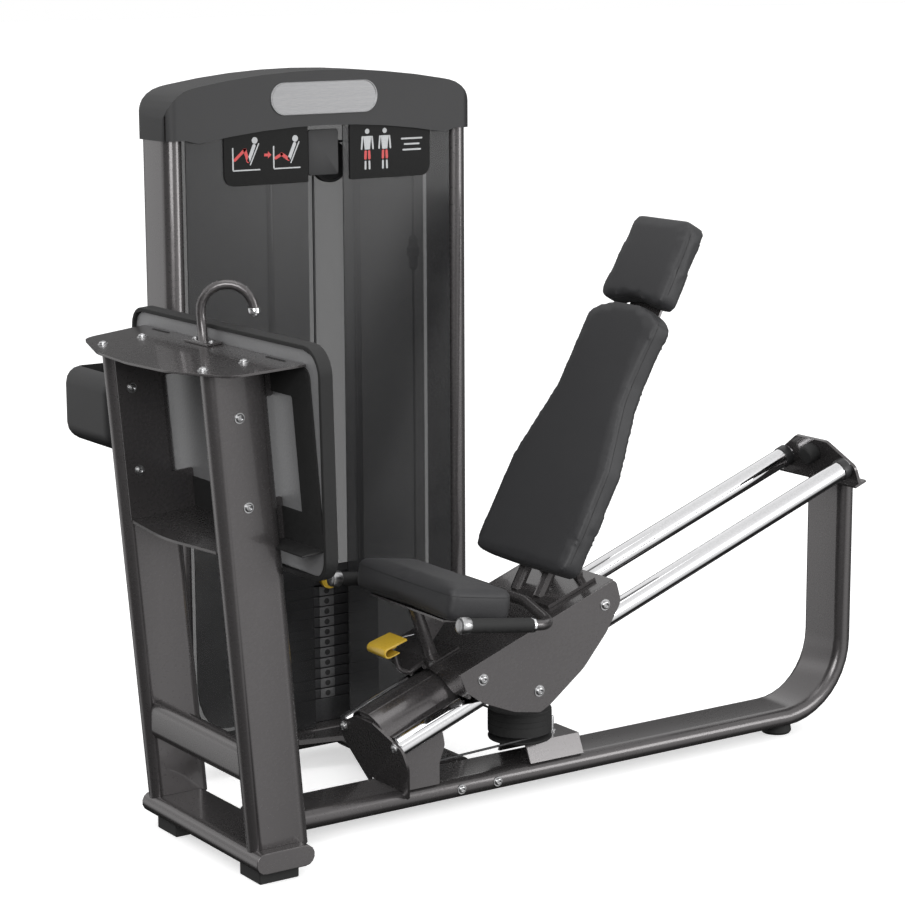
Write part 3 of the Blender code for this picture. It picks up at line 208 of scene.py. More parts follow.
SLOT_MATERIAL = {
    "frame_paint": PAINT, "black_rubber": RUBBER, "light_steel": STEEL, "chrome": CHROME,
    "cowl_plastic": COWL, "smoked_panel": SMOKED, "placard_black": PLACARD,
    "weight_iron": IRON, "yellow_plastic": YELLOW, "charcoal_vinyl": VINYL}
SPECIAL = {"shroud_panel_rear": REAR, "cable_run": CABLE}
EDGE = {"main_beam": 0.0, "front_cross_foot": 0.0016, "rail_near": 0.0, "rail_far": 0.0,
        "towel_hook": 0.0, "guide_rod_left": 0.0, "guide_rod_right": 0.0, "cable_run": 0.0,
        "tower_cowl": 0.003, "leg_near": 0.0, "leg_far": 0.0, "tower_frame": 0.0,
        "grip_near": 0.0, "grip_far": 0.0, "shroud_panel_left": 0.0006,
        "shroud_panel_right": 0.0006, "placard_left": 0.0004, "placard_right": 0.0004}


def dress(name, obj, slot):
    """Gives a CAD node its finish, eased edges and soft shading."""
    mesh = obj.data
    mesh.materials.clear()
    mesh.materials.append(SPECIAL.get(name, SLOT_MATERIAL[slot]))
    mesh.polygons.foreach_set("use_smooth", [True] * len(mesh.polygons))
    weld = obj.modifiers.new("weld", "WELD")
    weld.merge_threshold = 0.00002
    width = EDGE.get(name, 0.0012)
    if width:
        edge = obj.modifiers.new("edge", "BEVEL")
        edge.limit_method, edge.angle_limit = "ANGLE", math.radians(38)
        edge.width, edge.segments = width, 2
        edge.miter_outer = "MITER_ARC"
    normals = obj.modifiers.new("normals", "WEIGHTED_NORMAL")
    normals.mode, normals.keep_sharp = "FACE_AREA", False


for entry in frame["record"]["subparts"]:
    dress(entry["node"], NODES[entry["node"]], entry["material_slot"])


# ---- mesh helpers -------------------------------------------------------------------------
def piece(name, bm, mat, body, angle=35, replaces=(), blend=None):
    """Turns a bmesh into a smooth shaded piece that rides on a body."""
    mesh = bpy.data.meshes.new(name)
    bmesh.ops.recalc_face_normals(bm, faces=bm.faces)
    bm.to_mesh(mesh)
    bm.free()
    mats = mat if isinstance(mat, (list, tuple)) else [mat]
    for m in mats:
        mesh.materials.append(m)
    mesh.polygons.foreach_set("use_smooth", [True] * len(mesh.polygons))
    mesh.set_sharp_from_angle(angle=math.radians(angle))
    obj = bpy.data.objects.new(name, mesh)
    bpy.context.scene.collection.objects.link(obj)
    if blend:
        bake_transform(obj)
    elif body:
        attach(obj, body)
    if replaces:
        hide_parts(*replaces)
    return obj


def basis(axis):
    return Vector((0, 0, 1)).rotation_difference(Vector(axis).normalized()).to_matrix()


def skin(bm, rings, closed_ends=True, mat=0):
    """Joins rings of equal length into a tube of faces; a ring of one vertex is a pole."""
    faces = []
    for low, high in zip(rings, rings[1:]):
        n = max(len(low), len(high))
        for i in range(n):
            j = (i + 1) % n
            quad = [low[i % len(low)], low[j % len(low)], high[j % len(high)],
                    high[i % len(high)]]
            quad = list(dict.fromkeys(quad))
            faces.append(bm.faces.new(quad))
    if closed_ends:
        for ring in (rings[0], rings[-1]):
            if len(ring) > 2:
                faces.append(bm.faces.new(ring))
    for face in faces:
        face.material_index = mat


def add_lathe(bm, profile, centre, axis, sides=40, mat=0, flats=0):
    """Revolves (radius, height[, True for a hexagonal ring]) about an axis."""
    turn = basis(axis)
    rings = []
    for entry in profile:
        r, h = entry[0], entry[1]
        if r < 1e-6:
            rings.append([bm.verts.new(Vector(centre) + turn @ Vector((0, 0, h)))])
            continue
        ring = []
        for i in range(sides):
            a = 2 * math.pi * i / sides
            k = r
            if len(entry) > 2 and entry[2]:
                k = r / math.cos((a + math.pi / 6) % (math.pi / 3) - math.pi / 6)
            ring.append(bm.verts.new(
                Vector(centre) + turn @ Vector((k * math.cos(a), k * math.sin(a), h))))
        rings.append(ring)
    skin(bm, rings, True, mat)


def add_tube(bm, points, radius, sides=20, mat=0, rounded=True):
    """A round tube along points, with domed ends."""
    points = [Vector(p) for p in points]
    first = (points[1] - points[0]).normalized()
    side = first.orthogonal().normalized()
    rings, last = [], first
    for i, p in enumerate(points):
        before = points[max(i - 1, 0)]
        after = points[min(i + 1, len(points) - 1)]
        ahead = (after - before).normalized()
        side = (last.rotation_difference(ahead).to_matrix() @ side).normalized()
        up = ahead.cross(side)
        last = ahead
        steps = [(0.0, radius)]
        if rounded and i == 0:
            steps = [(-radius * 0.45 * math.sin(t), radius * math.cos(t * 0.62))
                     for t in (1.5, 1.1, 0.7, 0.3)] + [(0.0, radius)]
        if rounded and i == len(points) - 1:
            steps = [(0.0, radius)] + [
                (radius * 0.45 * math.sin(t), radius * math.cos(t * 0.62))
                for t in (0.3, 0.7, 1.1, 1.5)]
        for shift, r in steps:
            ring = []
            for k in range(sides):
                a = 2 * math.pi * k / sides
                ring.append(bm.verts.new(
                    p + ahead * shift + (side * math.cos(a) + up * math.sin(a)) * r))
            rings.append(ring)
    skin(bm, rings, True, mat)


def arc(centre, radius, start, stop, steps):
    """Points of a circle arc in the plane, angles in degrees."""
    return [(centre[0] + radius * math.cos(math.radians(start + (stop - start) * i / steps)),
             centre[1] + radius * math.sin(math.radians(start + (stop - start) * i / steps)))
            for i in range(steps + 1)]


def round_rect(x0, y0, x1, y1, r, steps=6):
    return (arc((x1 - r, y1 - r), r, 0, 90, steps) + arc((x0 + r, y1 - r), r, 90, 180, steps)
            + arc((x0 + r, y0 + r), r, 180, 270, steps)
            + arc((x1 - r, y0 + r), r, 270, 360, steps))


def add_slab(bm, outline, place, thickness, ease=0.0008, mat=0):
    """A flat plate with eased rims. place maps (a, b, depth) to a point."""
    count = len(outline)
    mid = (sum(p[0] for p in outline) / count, sum(p[1] for p in outline) / count)
    rings = []
    for inset, depth in ((ease, 0), (ease * 0.3, ease * 0.3), (0, ease),
                         (0, thickness - ease), (ease * 0.3, thickness - ease * 0.3),
                         (ease, thickness)):
        ring = []
        for a, b in outline:
            away = Vector((a - mid[0], b - mid[1]))
            pulled = away * (1 - inset / max(away.length, 1e-6))
            ring.append(bm.verts.new(place(mid[0] + pulled.x, mid[1] + pulled.y, depth)))
        rings.append(ring)
    skin(bm, rings, True, mat)


def touch(node, point, axis, reach=0.08):
    """Where a ray that comes in along -axis through the point meets a CAD node."""
    axis = Vector(axis).normalized()
    hit, place, normal, _ = NODES[node].ray_cast(Vector(point) + axis * reach, -axis)
    if not hit:
        raise RuntimeError(f"no surface of {node} at {tuple(point)}")
    return place, normal


BOLT = [(0, 0.0030), (0.0036, 0.0030, True), (0.0038, 0.0062, True), (0.0048, 0.0066),
        (0.0068, 0.0060), (0.0084, 0.0042), (0.0088, 0.0022), (0.0088, 0.0016),
        (0.0112, 0.0016), (0.0116, 0.0010), (0.0116, -0.0004), (0, -0.0004)]


def bolts(name, body, spots, scale=1.0):
    """Button head bolts with washers, joined into one piece."""
    bm = bmesh.new()
    for node, point, axis in spots:
        place, normal = touch(node, point, axis)
        profile = [(e[0] * scale, e[1] * scale, *e[2:]) for e in BOLT]
        add_lathe(bm, profile, place, axis, 30)
    piece(name, bm, BRIGHT, body, 30)


# ---- upholstery ---------------------------------------------------------------------------
CLOTH_FRAMES = 20


def inflate(obj, pressure, cap):
    """Swells a closed mesh with cloth pressure, no point moving more than cap."""
    rest = [v.co.copy() for v in obj.data.vertices]
    cloth = obj.modifiers.new("cloth", "CLOTH")
    settings = cloth.settings
    settings.quality = 5
    settings.tension_stiffness = settings.compression_stiffness = 60
    settings.shear_stiffness = 30
    settings.bending_stiffness = 12.0
    settings.use_pressure = True
    settings.uniform_pressure_force = pressure
    settings.effector_weights.gravity = 0
    cloth.collision_settings.use_collision = False
    cloth.point_cache.frame_start, cloth.point_cache.frame_end = 1, CLOTH_FRAMES
    scene = bpy.context.scene
    for step in range(1, CLOTH_FRAMES + 1):
        scene.frame_set(step)
    swollen = obj.evaluated_get(bpy.context.evaluated_depsgraph_get()).data
    moved = [v.co.copy() for v in swollen.vertices]
    obj.modifiers.remove(cloth)
    scene.frame_set(1)
    for vert, old, new in zip(obj.data.vertices, rest, moved):
        step = new - old
        if step.length > cap:
            step *= cap / step.length
        vert.co = old + step


def applied(obj):
    """Replaces the object's mesh with its evaluated one and drops the modifiers."""
    dg = bpy.context.evaluated_depsgraph_get()
    mesh = bpy.data.meshes.new_from_object(obj.evaluated_get(dg))
    obj.modifiers.clear()
    obj.data = mesh


def cushion(node, low_axis, seams):
    """A crowned pad from a CAD pad: shrunk, remeshed, swollen, seamed and subdivided."""
    source = NODES[node]
    mesh = source.data.copy()
    obj = bpy.data.objects.new(node + "_upholstery", mesh)
    bpy.context.scene.collection.objects.link(obj)
    bm = bmesh.new()
    bm.from_mesh(mesh)
    bmesh.ops.remove_doubles(bm, verts=bm.verts, dist=0.00002)
    bm.normal_update()
    rest_plane = min(v.co.dot(low_axis) for v in bm.verts)
    inward = {v: v.normal.copy() for v in bm.verts}
    for v in bm.verts:
        v.co -= inward[v] * 0.0020
    bm.to_mesh(mesh)
    bm.free()
    remesh = obj.modifiers.new("remesh", "REMESH")
    remesh.mode, remesh.voxel_size = "VOXEL", 0.0055
    applied(obj)
    inflate(obj, 3.0, 0.0050)
    for v in obj.data.vertices:
        depth = v.co.dot(low_axis) - rest_plane
        if depth < 0.0:
            v.co -= low_axis * depth
    smooth = obj.modifiers.new("smooth", "SMOOTH")
    smooth.factor, smooth.iterations = 0.5, 8
    finer = obj.modifiers.new("finer", "SUBSURF")
    finer.levels = finer.render_levels = 1
    applied(obj)
    bm = bmesh.new()
    bpy.context.view_layer.update()
    for line in seams:
        found = []
        for p in line:
            hit, place, normal, _ = obj.closest_point_on_mesh(p)
            found.append(place + normal * 0.0002)
        count = len(found)
        for _ in range(6):
            found = [(found[i - 1] + found[i] * 2 + found[(i + 1) % count]) / 4
                     for i in range(count)]
            found = [obj.closest_point_on_mesh(p)[1] for p in found]
        add_loop(bm, found, 0.0008)
    piece(node + "_seams", bm, THREAD, "carriage", 60)
    mesh = obj.data
    mesh.materials.clear()
    mesh.materials.append(VINYL)
    mesh.polygons.foreach_set("use_smooth", [True] * len(mesh.polygons))
    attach(obj, "carriage")
    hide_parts(node)
    return obj


def add_loop(bm, points, radius, sides=8):
    """A closed round cord through points."""
    count, rings = len(points), []
    for i, p in enumerate(points):
        ahead = (points[(i + 1) % count] - points[i - 1]).normalized()
        side = ahead.cross(Vector((0.31, 0.87, 0.38))).normalized()
        if rings and side.dot(last) < 0:
            side.negate()
        last = side
        up = ahead.cross(side)
        rings.append([bm.verts.new(
            p + (side * math.cos(2 * math.pi * k / sides)
                 + up * math.sin(2 * math.pi * k / sides)) * radius)
            for k in range(sides)])
    rings.append(rings[0])
    skin(bm, rings, False)


BACK_TILT = math.radians(61)
BACK_FOOT = at(0.7644, 0, 0.550)      # foot of the pads' front plane
BACK_UP = Vector((math.cos(BACK_TILT), 0, math.sin(BACK_TILT)))
BACK_OUT = Vector((-math.sin(BACK_TILT), 0, math.cos(BACK_TILT)))
PAD_T = 0.055


def back_ring(corners, depth, inset):
    """A closed ring round a back pad, behind its front plane by a depth."""
    mid = sum(b for _, b in corners) / len(corners)
    ring = []
    for (a0, b0), (a1, b1) in zip(corners, corners[1:] + corners[:1]):
        for k in range(8):
            a, b = a0 + (a1 - a0) * k / 8, b0 + (b1 - b0) * k / 8
            a -= math.copysign(min(inset, abs(a)), a)
            b -= math.copysign(inset, b - mid)
            ring.append(BACK_FOOT + BACK_UP * b - BACK_OUT * depth + Vector((0, a, 0)))
    return ring


near = [(0.177, -0.011), (0.180, 0.120), (0.176, 0.245), (0.130, 0.415), (0.128, 0.520),
        (0.131, 0.604), (0.050, 0.638)]
BACK_LINE = near + [(-a, b) for a, b in reversed(near)]
HEAD_LINE = [(-0.120, 0.638), (0, 0.652), (0.120, 0.638), (0.105, 0.856), (-0.105, 0.856)]
for node, line in (("back_pad", BACK_LINE), ("head_pad", HEAD_LINE)):
    cushion(node, BACK_OUT, [back_ring(line, 0.014, 0.0), back_ring(line, 0.046, 0.0)])

SEAT_TURN = Matrix.Rotation(math.radians(9), 3, "Y")
SEAT_UP = SEAT_TURN @ Vector((0, 0, 1))


def seat_ring(height, inset):
    return [at(0.533, 0, 0.505) + SEAT_TURN @ Vector((a, b, height))
            for a, b in round_rect(-0.085 + inset, -0.1975 + inset, 0.085 - inset,
                                   0.1975 - inset, 0.030, 8)]


cushion("seat_pad", SEAT_UP, [seat_ring(0.020, 0.0), seat_ring(-0.028, 0.001)])


# ---- wheels -------------------------------------------------------------------------------
def wheel(name, centre, axis, groove, width, hub, body, bore=0.006, mat=NYLON):
    """A grooved cable pulley with a recessed web, a raised hub and a bearing."""
    rim, half = groove + 0.004, width / 2
    bm = bmesh.new()
    side = [(bore, half + 0.0015), (hub * 0.62, half + 0.0015), (hub * 0.70, half + 0.0002),
            (hub, half - 0.0002), (hub * 1.08, half - 0.0035), (rim - 0.0075, half - 0.0035),
            (rim - 0.0060, half - 0.0002), (rim - 0.0012, half), (rim, half - 0.0012)]
    cup = [(groove + 0.0034, 0.0042), (groove + 0.0012, 0.0026), (groove, 0.0)]
    profile = side + cup + [(r, -h) for r, h in reversed(cup[:-1])]
    profile += [(r, -h) for r, h in reversed(side)]
    add_lathe(bm, profile + [profile[0]], centre, axis, 56)
    add_lathe(bm, [(0, half + 0.0030), (bore * 0.7, half + 0.0030), (bore * 0.98, half + 0.002),
                   (bore * 0.98, -half - 0.002), (bore * 0.7, -half - 0.0030),
                   (0, -half - 0.0030)], centre, axis, 24, 1)
    piece(name, bm, [mat, BRIGHT], body, 30, replaces=(body,))


wheel("front_pulley_wheel", at(0.452, -0.055, 0.150), (0, 1, 0), 0.026, 0.016, 0.012,
      "front_pulley")
wheel("base_pulley_wheel", at(0.827, 0.4855, 0.166), (1, 0, 0), 0.032, 0.016, 0.013,
      "base_pulley")
wheel("top_outer_wheel", at(0.782, 0.5175, 1.420), (0, 1, 0), 0.045, 0.016, 0.016,
      "top_pulley_outer")
wheel("top_inner_wheel", at(0.595, 0.5175, 1.420), (0, 1, 0), 0.045, 0.016, 0.016,
      "top_pulley_inner")

for end, u in (("front", -0.124), ("rear", 0.233)):
    for side, y in (("near", -0.105), ("far", 0.105)):
        name = f"roller_{end}_{side}"
        bm = bmesh.new()
        tyre = [(0.0215, 0.0165), (0.0225, 0.0185), (0.0320, 0.0190), (0.0342, 0.0176),
                (0.0345, 0.0160), (0.0338, 0.0120), (0.0328, 0.0060), (0.0325, 0.0)]
        tyre += [(r, -h) for r, h in reversed(tyre[:-1])]
        add_lathe(bm, tyre + [tyre[0]], on_carriage(u, y, 0.0565), (0, 1, 0), 56)
        hub = [(0, 0.0180), (0.0075, 0.0180), (0.0085, 0.0170), (0.0140, 0.0168),
               (0.0150, 0.0155), (0.0200, 0.0155), (0.0213, 0.0168)]
        hub += [(r, -h) for r, h in reversed(hub)]
        add_lathe(bm, hub, on_carriage(u, y, 0.0565), (0, 1, 0), 40, 1)
        piece(name + "_wheel", bm, [TYRE, BRIGHT], name, 30,
              replaces=(name,))

# cable drum under the carriage: a rubber sleeve with faint rings and a cable groove near its foot
bm = bmesh.new()
drum_low, drum_high = 0.1209, 0.195
profile = [(0.010, drum_low), (0.066, drum_low), (0.0722, drum_low + 0.0018),
           (0.0738, drum_low + 0.0050), (0.0738, drum_low + 0.0080), (0.0580, 0.1315),
           (0.0552, 0.1340), (0.0580, 0.1365), (0.0738, 0.1400)]
for k in range(3):
    z = 0.1500 + 0.0130 * k
    profile += [(0.0740, z), (0.0740, z + 0.0110), (0.0733, z + 0.0116), (0.0733, z + 0.0124)]
profile += [(0.0738, drum_high - 0.0030), (0.0722, drum_high - 0.0008), (0.0660, drum_high),
            (0.0300, drum_high), (0.0280, drum_high - 0.0030), (0.010, drum_high - 0.0030)]
add_lathe(bm, [(r, z - 0.15) for r, z in profile] + [(0.010, drum_low - 0.15)],
          at(0.772, 0, 0.15), (0, 0, 1), 72)
piece("beam_pulley_drum", bm, RUBBER, "beam_pulley", 32,
      replaces=("beam_pulley",))


# ---- weight stack -------------------------------------------------------------------------
def rounded_plate(bm, low, high, radius, ease=0.0022, mat=0):
    outline = round_rect(low[0], low[1], high[0], high[1], radius, 5)
    add_slab(bm, outline, lambda a, b, d: Vector((a, b, low[2] + d)), high[2] - low[2],
             ease, mat)


STACK_X, STACK_Y0, STACK_Y1 = 0.550, 0.484, 0.551
PLATES, PITCH, PLATE_FOOT, PLATE_HALF = 11, 0.0252, 0.139, 0.150
bm = bmesh.new()
for k in range(PLATES):
    z = PLATE_FOOT + PITCH * k
    rounded_plate(bm, at(STACK_X - PLATE_HALF, STACK_Y0, z),
                  at(STACK_X + PLATE_HALF, STACK_Y1, z + PITCH - 0.0022), 0.008)
rounded_plate(bm, at(STACK_X - PLATE_HALF, STACK_Y0, 0.0808),
              at(STACK_X + PLATE_HALF, STACK_Y1, 0.1375), 0.006)
piece("weight_plates", bm, IRON, "machine", 30,
      replaces=("weight_stack_rest",))

# a face strip down the stack, with a raised dark disc of painted shade for the bore of each plate
bm = bmesh.new()
for k in range(PLATES):
    z = PLATE_FOOT + PITCH * k
    outline = round_rect(STACK_X - 0.020, z + 0.0004, STACK_X + 0.020, z + PITCH - 0.0026, 0.003)
    add_slab(bm, outline, lambda a, b, d: at(a, STACK_Y0 + 0.0005 - d, b), 0.0022, 0.0006)
piece("plate_faces", bm, STRIP, "machine", 30)
# the dark discs paint the shade inside each plate's bore; no hole is cut
bm = bmesh.new()
for k in range(PLATES):
    z = PLATE_FOOT + PITCH * (k + 0.5) - 0.0011
    add_lathe(bm, [(0, 0.0024), (0.0062, 0.0024), (0.0070, 0.0021), (0.0070, -0.0010),
                   (0, -0.0010)], at(STACK_X, STACK_Y0, z), (0, -1, 0), 24)
piece("plate_bore_shade", bm, RUBBER, "machine", 30)

# ---- cable strands, fixed in place ----------------------------------------------------------
lead = math.radians(110.2)
start = at(0.452, -0.055, 0.150) + Vector((math.cos(lead), 0, math.sin(lead))) * 0.0290
start += ALONG * 0.0025
stop = on_carriage(-0.2145, -0.055, 0.012)
bm = bmesh.new()
add_tube(bm, [start.lerp(stop, i / 16) for i in range(17)], 0.0030, 12)
piece("rack_cable_strand", bm, CABLE, None, 40, replaces=("rack_cable",),
      blend=("machine", "rack", start, stop))

low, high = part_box("stack_cable")
x, y = (low.x + high.x) / 2, (low.y + high.y) / 2
bm = bmesh.new()
add_tube(bm, [Vector((x, y, low.z + (high.z - low.z) * i / 24)) for i in range(25)], 0.0030, 12)
piece("stack_cable_strand", bm, CABLE, None, 40, replaces=("stack_cable",),
      blend=("stack", "machine", (x, y, low.z), (x, y, high.z)))

# ---- adjusting lever ----------------------------------------------------------------------
TILT = Matrix.Rotation(math.radians(-17), 3, "Y")
PADDLE = at(0.413, 0, 0.392)
bm = bmesh.new()
section = ([(0.033, 0.0112), (-0.014, 0.0122)] + arc((-0.0205, 0.0), 0.0122, 90, 262, 11)
           + [(-0.006, -0.0128), (0.006, -0.0122), (0.006, -0.0096), (-0.006, -0.0100)]
           + [(x, z) for x, z in reversed(arc((-0.0205, 0.0), 0.0094, 94, 262, 11))]
           + [(-0.014, 0.0094), (0.033, 0.0084)])
rings = []
for y, k in ((-0.037, 0.90), (-0.0362, 0.965), (-0.034, 1.0), (0.034, 1.0), (0.0362, 0.965),
             (0.037, 0.90)):
    rings.append([bm.verts.new(PADDLE + TILT @ Vector((a * (0.5 + 0.5 * k), y, b * k)))
                  for a, b in section])
skin(bm, rings)
hub = PADDLE + TILT @ Vector((0.010, 0, -0.001))
add_lathe(bm, [(0, -0.006), (0.0120, -0.006), (0.0130, -0.004), (0.0130, 0.004),
               (0.0110, 0.006), (0, 0.006)], hub, TILT @ Vector((0, 0, 1)), 28)
piece("lever_paddle", bm, YELLOW, "lever", 40, replaces=("adjust_lever",))
bm = bmesh.new()
link_from = PADDLE + TILT @ Vector((0.026, 0, 0.004))
add_tube(bm, [link_from, link_from + TILT @ Vector((0.022, 0, -0.002)),
              link_from + TILT @ Vector((0.044, 0, -0.008))], 0.0024, 12)
piece("lever_link", bm, BRIGHT, "lever", 40)
bm = bmesh.new()
route = [PADDLE + Vector((0.010, 0, -0.003)), PADDLE + Vector((0.016, 0, -0.014)),
         at(0.436, 0, 0.352), at(0.441, 0, 0.340), at(0.449, 0, 0.332), at(0.458, 0, 0.3275),
         at(0.470, 0, 0.3235), on_carriage(-0.1760, 0, 0.0900), on_carriage(-0.1715, 0, 0.077)]
add_tube(bm, route, 0.0058, 18)
piece("lever_rod", bm, PAINT, "lever", 40)

# ---- handle bars --------------------------------------------------------------------------
BAR_RADIUS, GRIP_START, GRIP_LENGTH, BEND_REACH = 0.0125, 0.106, 0.084, 0.040


def bar_corners(side):
    """The bar's front end, its bend and where it meets the seat frame, on one side."""
    return (at(0.425, side * 0.262, 0.4925), at(0.672, side * 0.262, 0.458),
            at(0.702, side * 0.120, 0.478))


for side, name in ((-1, "near"), (1, "far")):
    front, bend, _ = bar_corners(side)
    ahead = (front - bend).normalized()
    knob = front - ahead * 0.0140
    bm = bmesh.new()
    add_lathe(bm, [(0, -0.0140), (0.0130, -0.0140), (0.0172, -0.0128), (0.0185, -0.0100),
                   (0.0185, 0.0070), (0.0174, 0.0112), (0.0140, 0.0132), (0.0080, 0.0138),
                   (0, 0.0140)], knob, ahead, 40)
    piece(f"handle_knob_{name}", bm, BRIGHT, "carriage", 40)
    ring_at = front - ahead * (GRIP_START + GRIP_LENGTH + 0.0045)
    bm = bmesh.new()
    add_lathe(bm, [(0.0124, -0.004), (0.0160, -0.0036), (0.0170, -0.0026), (0.0170, 0.0026),
                   (0.0160, 0.0036), (0.0124, 0.004), (0.0124, -0.004)], ring_at, ahead, 40)
    piece(f"handle_ring_{name}", bm, CHROME, "carriage", 40)
bm = bmesh.new()
path = []
for side in (-1, 1):
    front, bend, middle = bar_corners(side)
    a = bend + (front - bend).normalized() * BEND_REACH
    b = bend + (middle - bend).normalized() * BEND_REACH
    turned = [a.lerp(bend, t).lerp(bend.lerp(b, t), t) for t in [i / 8 for i in range(9)]]
    leg = [front - (front - bend).normalized() * 0.020] + turned + [middle]
    path += leg if side < 0 else list(reversed(leg))
add_tube(bm, path, BAR_RADIUS, 22, rounded=False)
piece("handle_bar_tube", bm, PAINT, "carriage", 40, replaces=("handle_bar",))

# ---- fasteners ----------------------------------------------------------------------------
NEAR, FAR, UP = (0, -1, 0), (0, 1, 0), (0, 0, 1)
bolts("leg_bolts", "machine", [
    ("leg_near", at(-0.076, -0.225, 0.987), NEAR), ("leg_near", at(-0.059, -0.225, 0.802), NEAR),
    ("leg_far", at(-0.076, 0.255, 0.987), FAR), ("leg_far", at(-0.059, 0.255, 0.802), FAR)])
bolts("cheek_bolts", "machine", [
    ("footplate_bracket", at(-0.095, 0.190, 0.993), NEAR),
    ("footplate_bracket", at(-0.082, 0.190, 0.813), NEAR)])
bolts("top_plate_bolts", "machine", [
    ("top_plate", leaned(x, y, 1.0962), LEAN_UP)
    for x in (-0.0586, 0.035) for y in (-0.219, 0.219)])
bolts("hook_bolts", "machine", [
    ("towel_hook", leaned(0.086, 0.040 + d, 1.10), LEAN_UP) for d in (-0.035, 0.035)], 0.6)
bolts("beam_bolts", "machine", [
    ("main_beam", at(x, -0.069, 0.053), NEAR) for x in (0.563, 0.662)])
bolts("carriage_bolts", "carriage", [
    (f"carriage_side_{side}", on_carriage(u, y, w), axis)
    for side, y, axis in (("near", -0.153, NEAR), ("far", 0.153, FAR))
    for u, w in ((-0.124, 0.057), (0.002, -0.043), (0.233, 0.055))], 1.15)
bolts("rail_bolts", "machine", [
    ("rail_front_plate", on_carriage(-0.36, y, 0), -ALONG) for y in (-0.105, 0.105)], 1.1)
bolts("tie_bolts", "machine", [
    ("cross_tie", at(x, y, 0.0755), UP) for x, y in ((0.55, 0.405), (0.62, 0.405))])

# ---- badge and placard art ----------------------------------------------------------------
def on_front(node, x, z, lift=0.0):
    place, _ = touch(node, at(x, 0.42, z), NEAR)
    return place + Vector((0, -lift, 0))


bm = bmesh.new()
half_w, half_h, cx, cz = 0.1425, 0.037, TOWER_X, 1.574
outline = round_rect(-half_w, -half_h, half_w, half_h, half_h - 0.001, 12)
face_y = on_front("tower_cowl", cx, cz).y
rings = []
for inset, lift in ((0.0, -0.001), (0.0, 0.0016), (0.0012, 0.0028), (0.0035, 0.0028),
                    (0.0050, 0.0018)):
    ring = []
    for a, b in outline:
        k = Vector((a, b))
        pulled = k * (1 - inset / k.length)
        ring.append(bm.verts.new(Vector((at(cx, 0, 0).x + pulled.x, face_y - lift,
                                         cz + pulled.y))))
    rings.append(ring)
skin(bm, rings)
piece("cowl_badge", bm, BADGE, "machine", 25)

art = {0: bmesh.new(), 1: bmesh.new()}


def flat(which, outline, x, z, node):
    """A printed shape, 0.2 mm proud of a placard."""
    bm = art[which]
    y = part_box(node)[0].y
    verts = []
    for depth in (0.0002, -0.0001):
        verts.append([bm.verts.new(Vector((at(x, 0, 0).x + a, y - depth, z + b)))
                      for a, b in outline])
    skin(bm, verts)


def bar(which, x, z, a, b, width, node):
    """A round-ended stroke from a to b."""
    a, b = Vector(a), Vector(b)
    turn = math.degrees(math.atan2(b.y - a.y, b.x - a.x))
    outline = arc(b, width / 2, turn - 90, turn + 90, 6) + arc(a, width / 2, turn + 90,
                                                              turn + 270, 6)
    flat(which, outline, x, z, node)


def disc(which, x, z, c, r, node):
    flat(which, arc(c, r, 0, 345, 23), x, z, node)


def seated(x, z, knee, node):
    """A seated stick figure with its feet on a plate."""
    disc(0, x, z, (0.022, 0.034), 0.0075, node)
    bar(0, x, z, (0.020, 0.022), (0.006, -0.010), 0.0085, node)
    bar(1, x, z, (0.004, -0.012), knee, 0.0080, node)
    bar(1, x, z, knee, (-0.030, -0.008), 0.0070, node)
    bar(0, x, z, (-0.035, -0.030), (-0.035, 0.018), 0.0035, node)
    bar(0, x, z, (-0.034, -0.032), (0.034, -0.032), 0.0030, node)
    bar(0, x, z, (0.010, -0.020), (0.032, 0.026), 0.0030, node)


seated(0.330, 1.449, (-0.004, 0.014), "placard_left")
seated(0.436, 1.449, (-0.014, 0.000), "placard_left")
flat(1, [(-0.008, 0.003), (0.002, 0.003), (0.002, 0.008), (0.011, 0), (0.002, -0.008),
         (0.002, -0.003), (-0.008, -0.003)], 0.384, 1.449, "placard_left")


def standing(x, z, node):
    """A standing figure with the thighs marked."""
    disc(0, x, z, (0, 0.042), 0.0060, node)
    flat(0, [(-0.011, 0.031), (0.011, 0.031), (0.007, 0.000), (-0.007, 0.000)], x, z, node)
    for side in (-1, 1):
        bar(0, x, z, (side * 0.0132, 0.029), (side * 0.0157, 0.002), 0.0043, node)
        bar(1, x, z, (side * 0.0047, -0.005), (side * 0.0055, -0.020), 0.0066, node)
        bar(0, x, z, (side * 0.0053, -0.028), (side * 0.0056, -0.044), 0.0049, node)


standing(0.652, 1.449, "placard_right")
standing(0.700, 1.449, "placard_right")
for k, width in enumerate((0.056, 0.040, 0.048)):
    bar(0, 0.775, 1.458, (-width / 2, 0.012 - 0.013 * k), (width / 2, 0.012 - 0.013 * k), 0.0040,
        "placard_right")
piece("placard_ink_pale", art[0], INK_PALE, "machine", 30)
piece("placard_ink_red", art[1], INK_RED, "machine", 30)

# ---- small fittings -----------------------------------------------------------------------
bm = bmesh.new()
add_slab(bm, round_rect(0.500, 1.395, 0.580, 1.500, 0.006),
         lambda a, b, d: at(a, 0.452 + d, b), 0.006, 0.0012)
piece("slot_bridge", bm, COWL, "machine", 30)
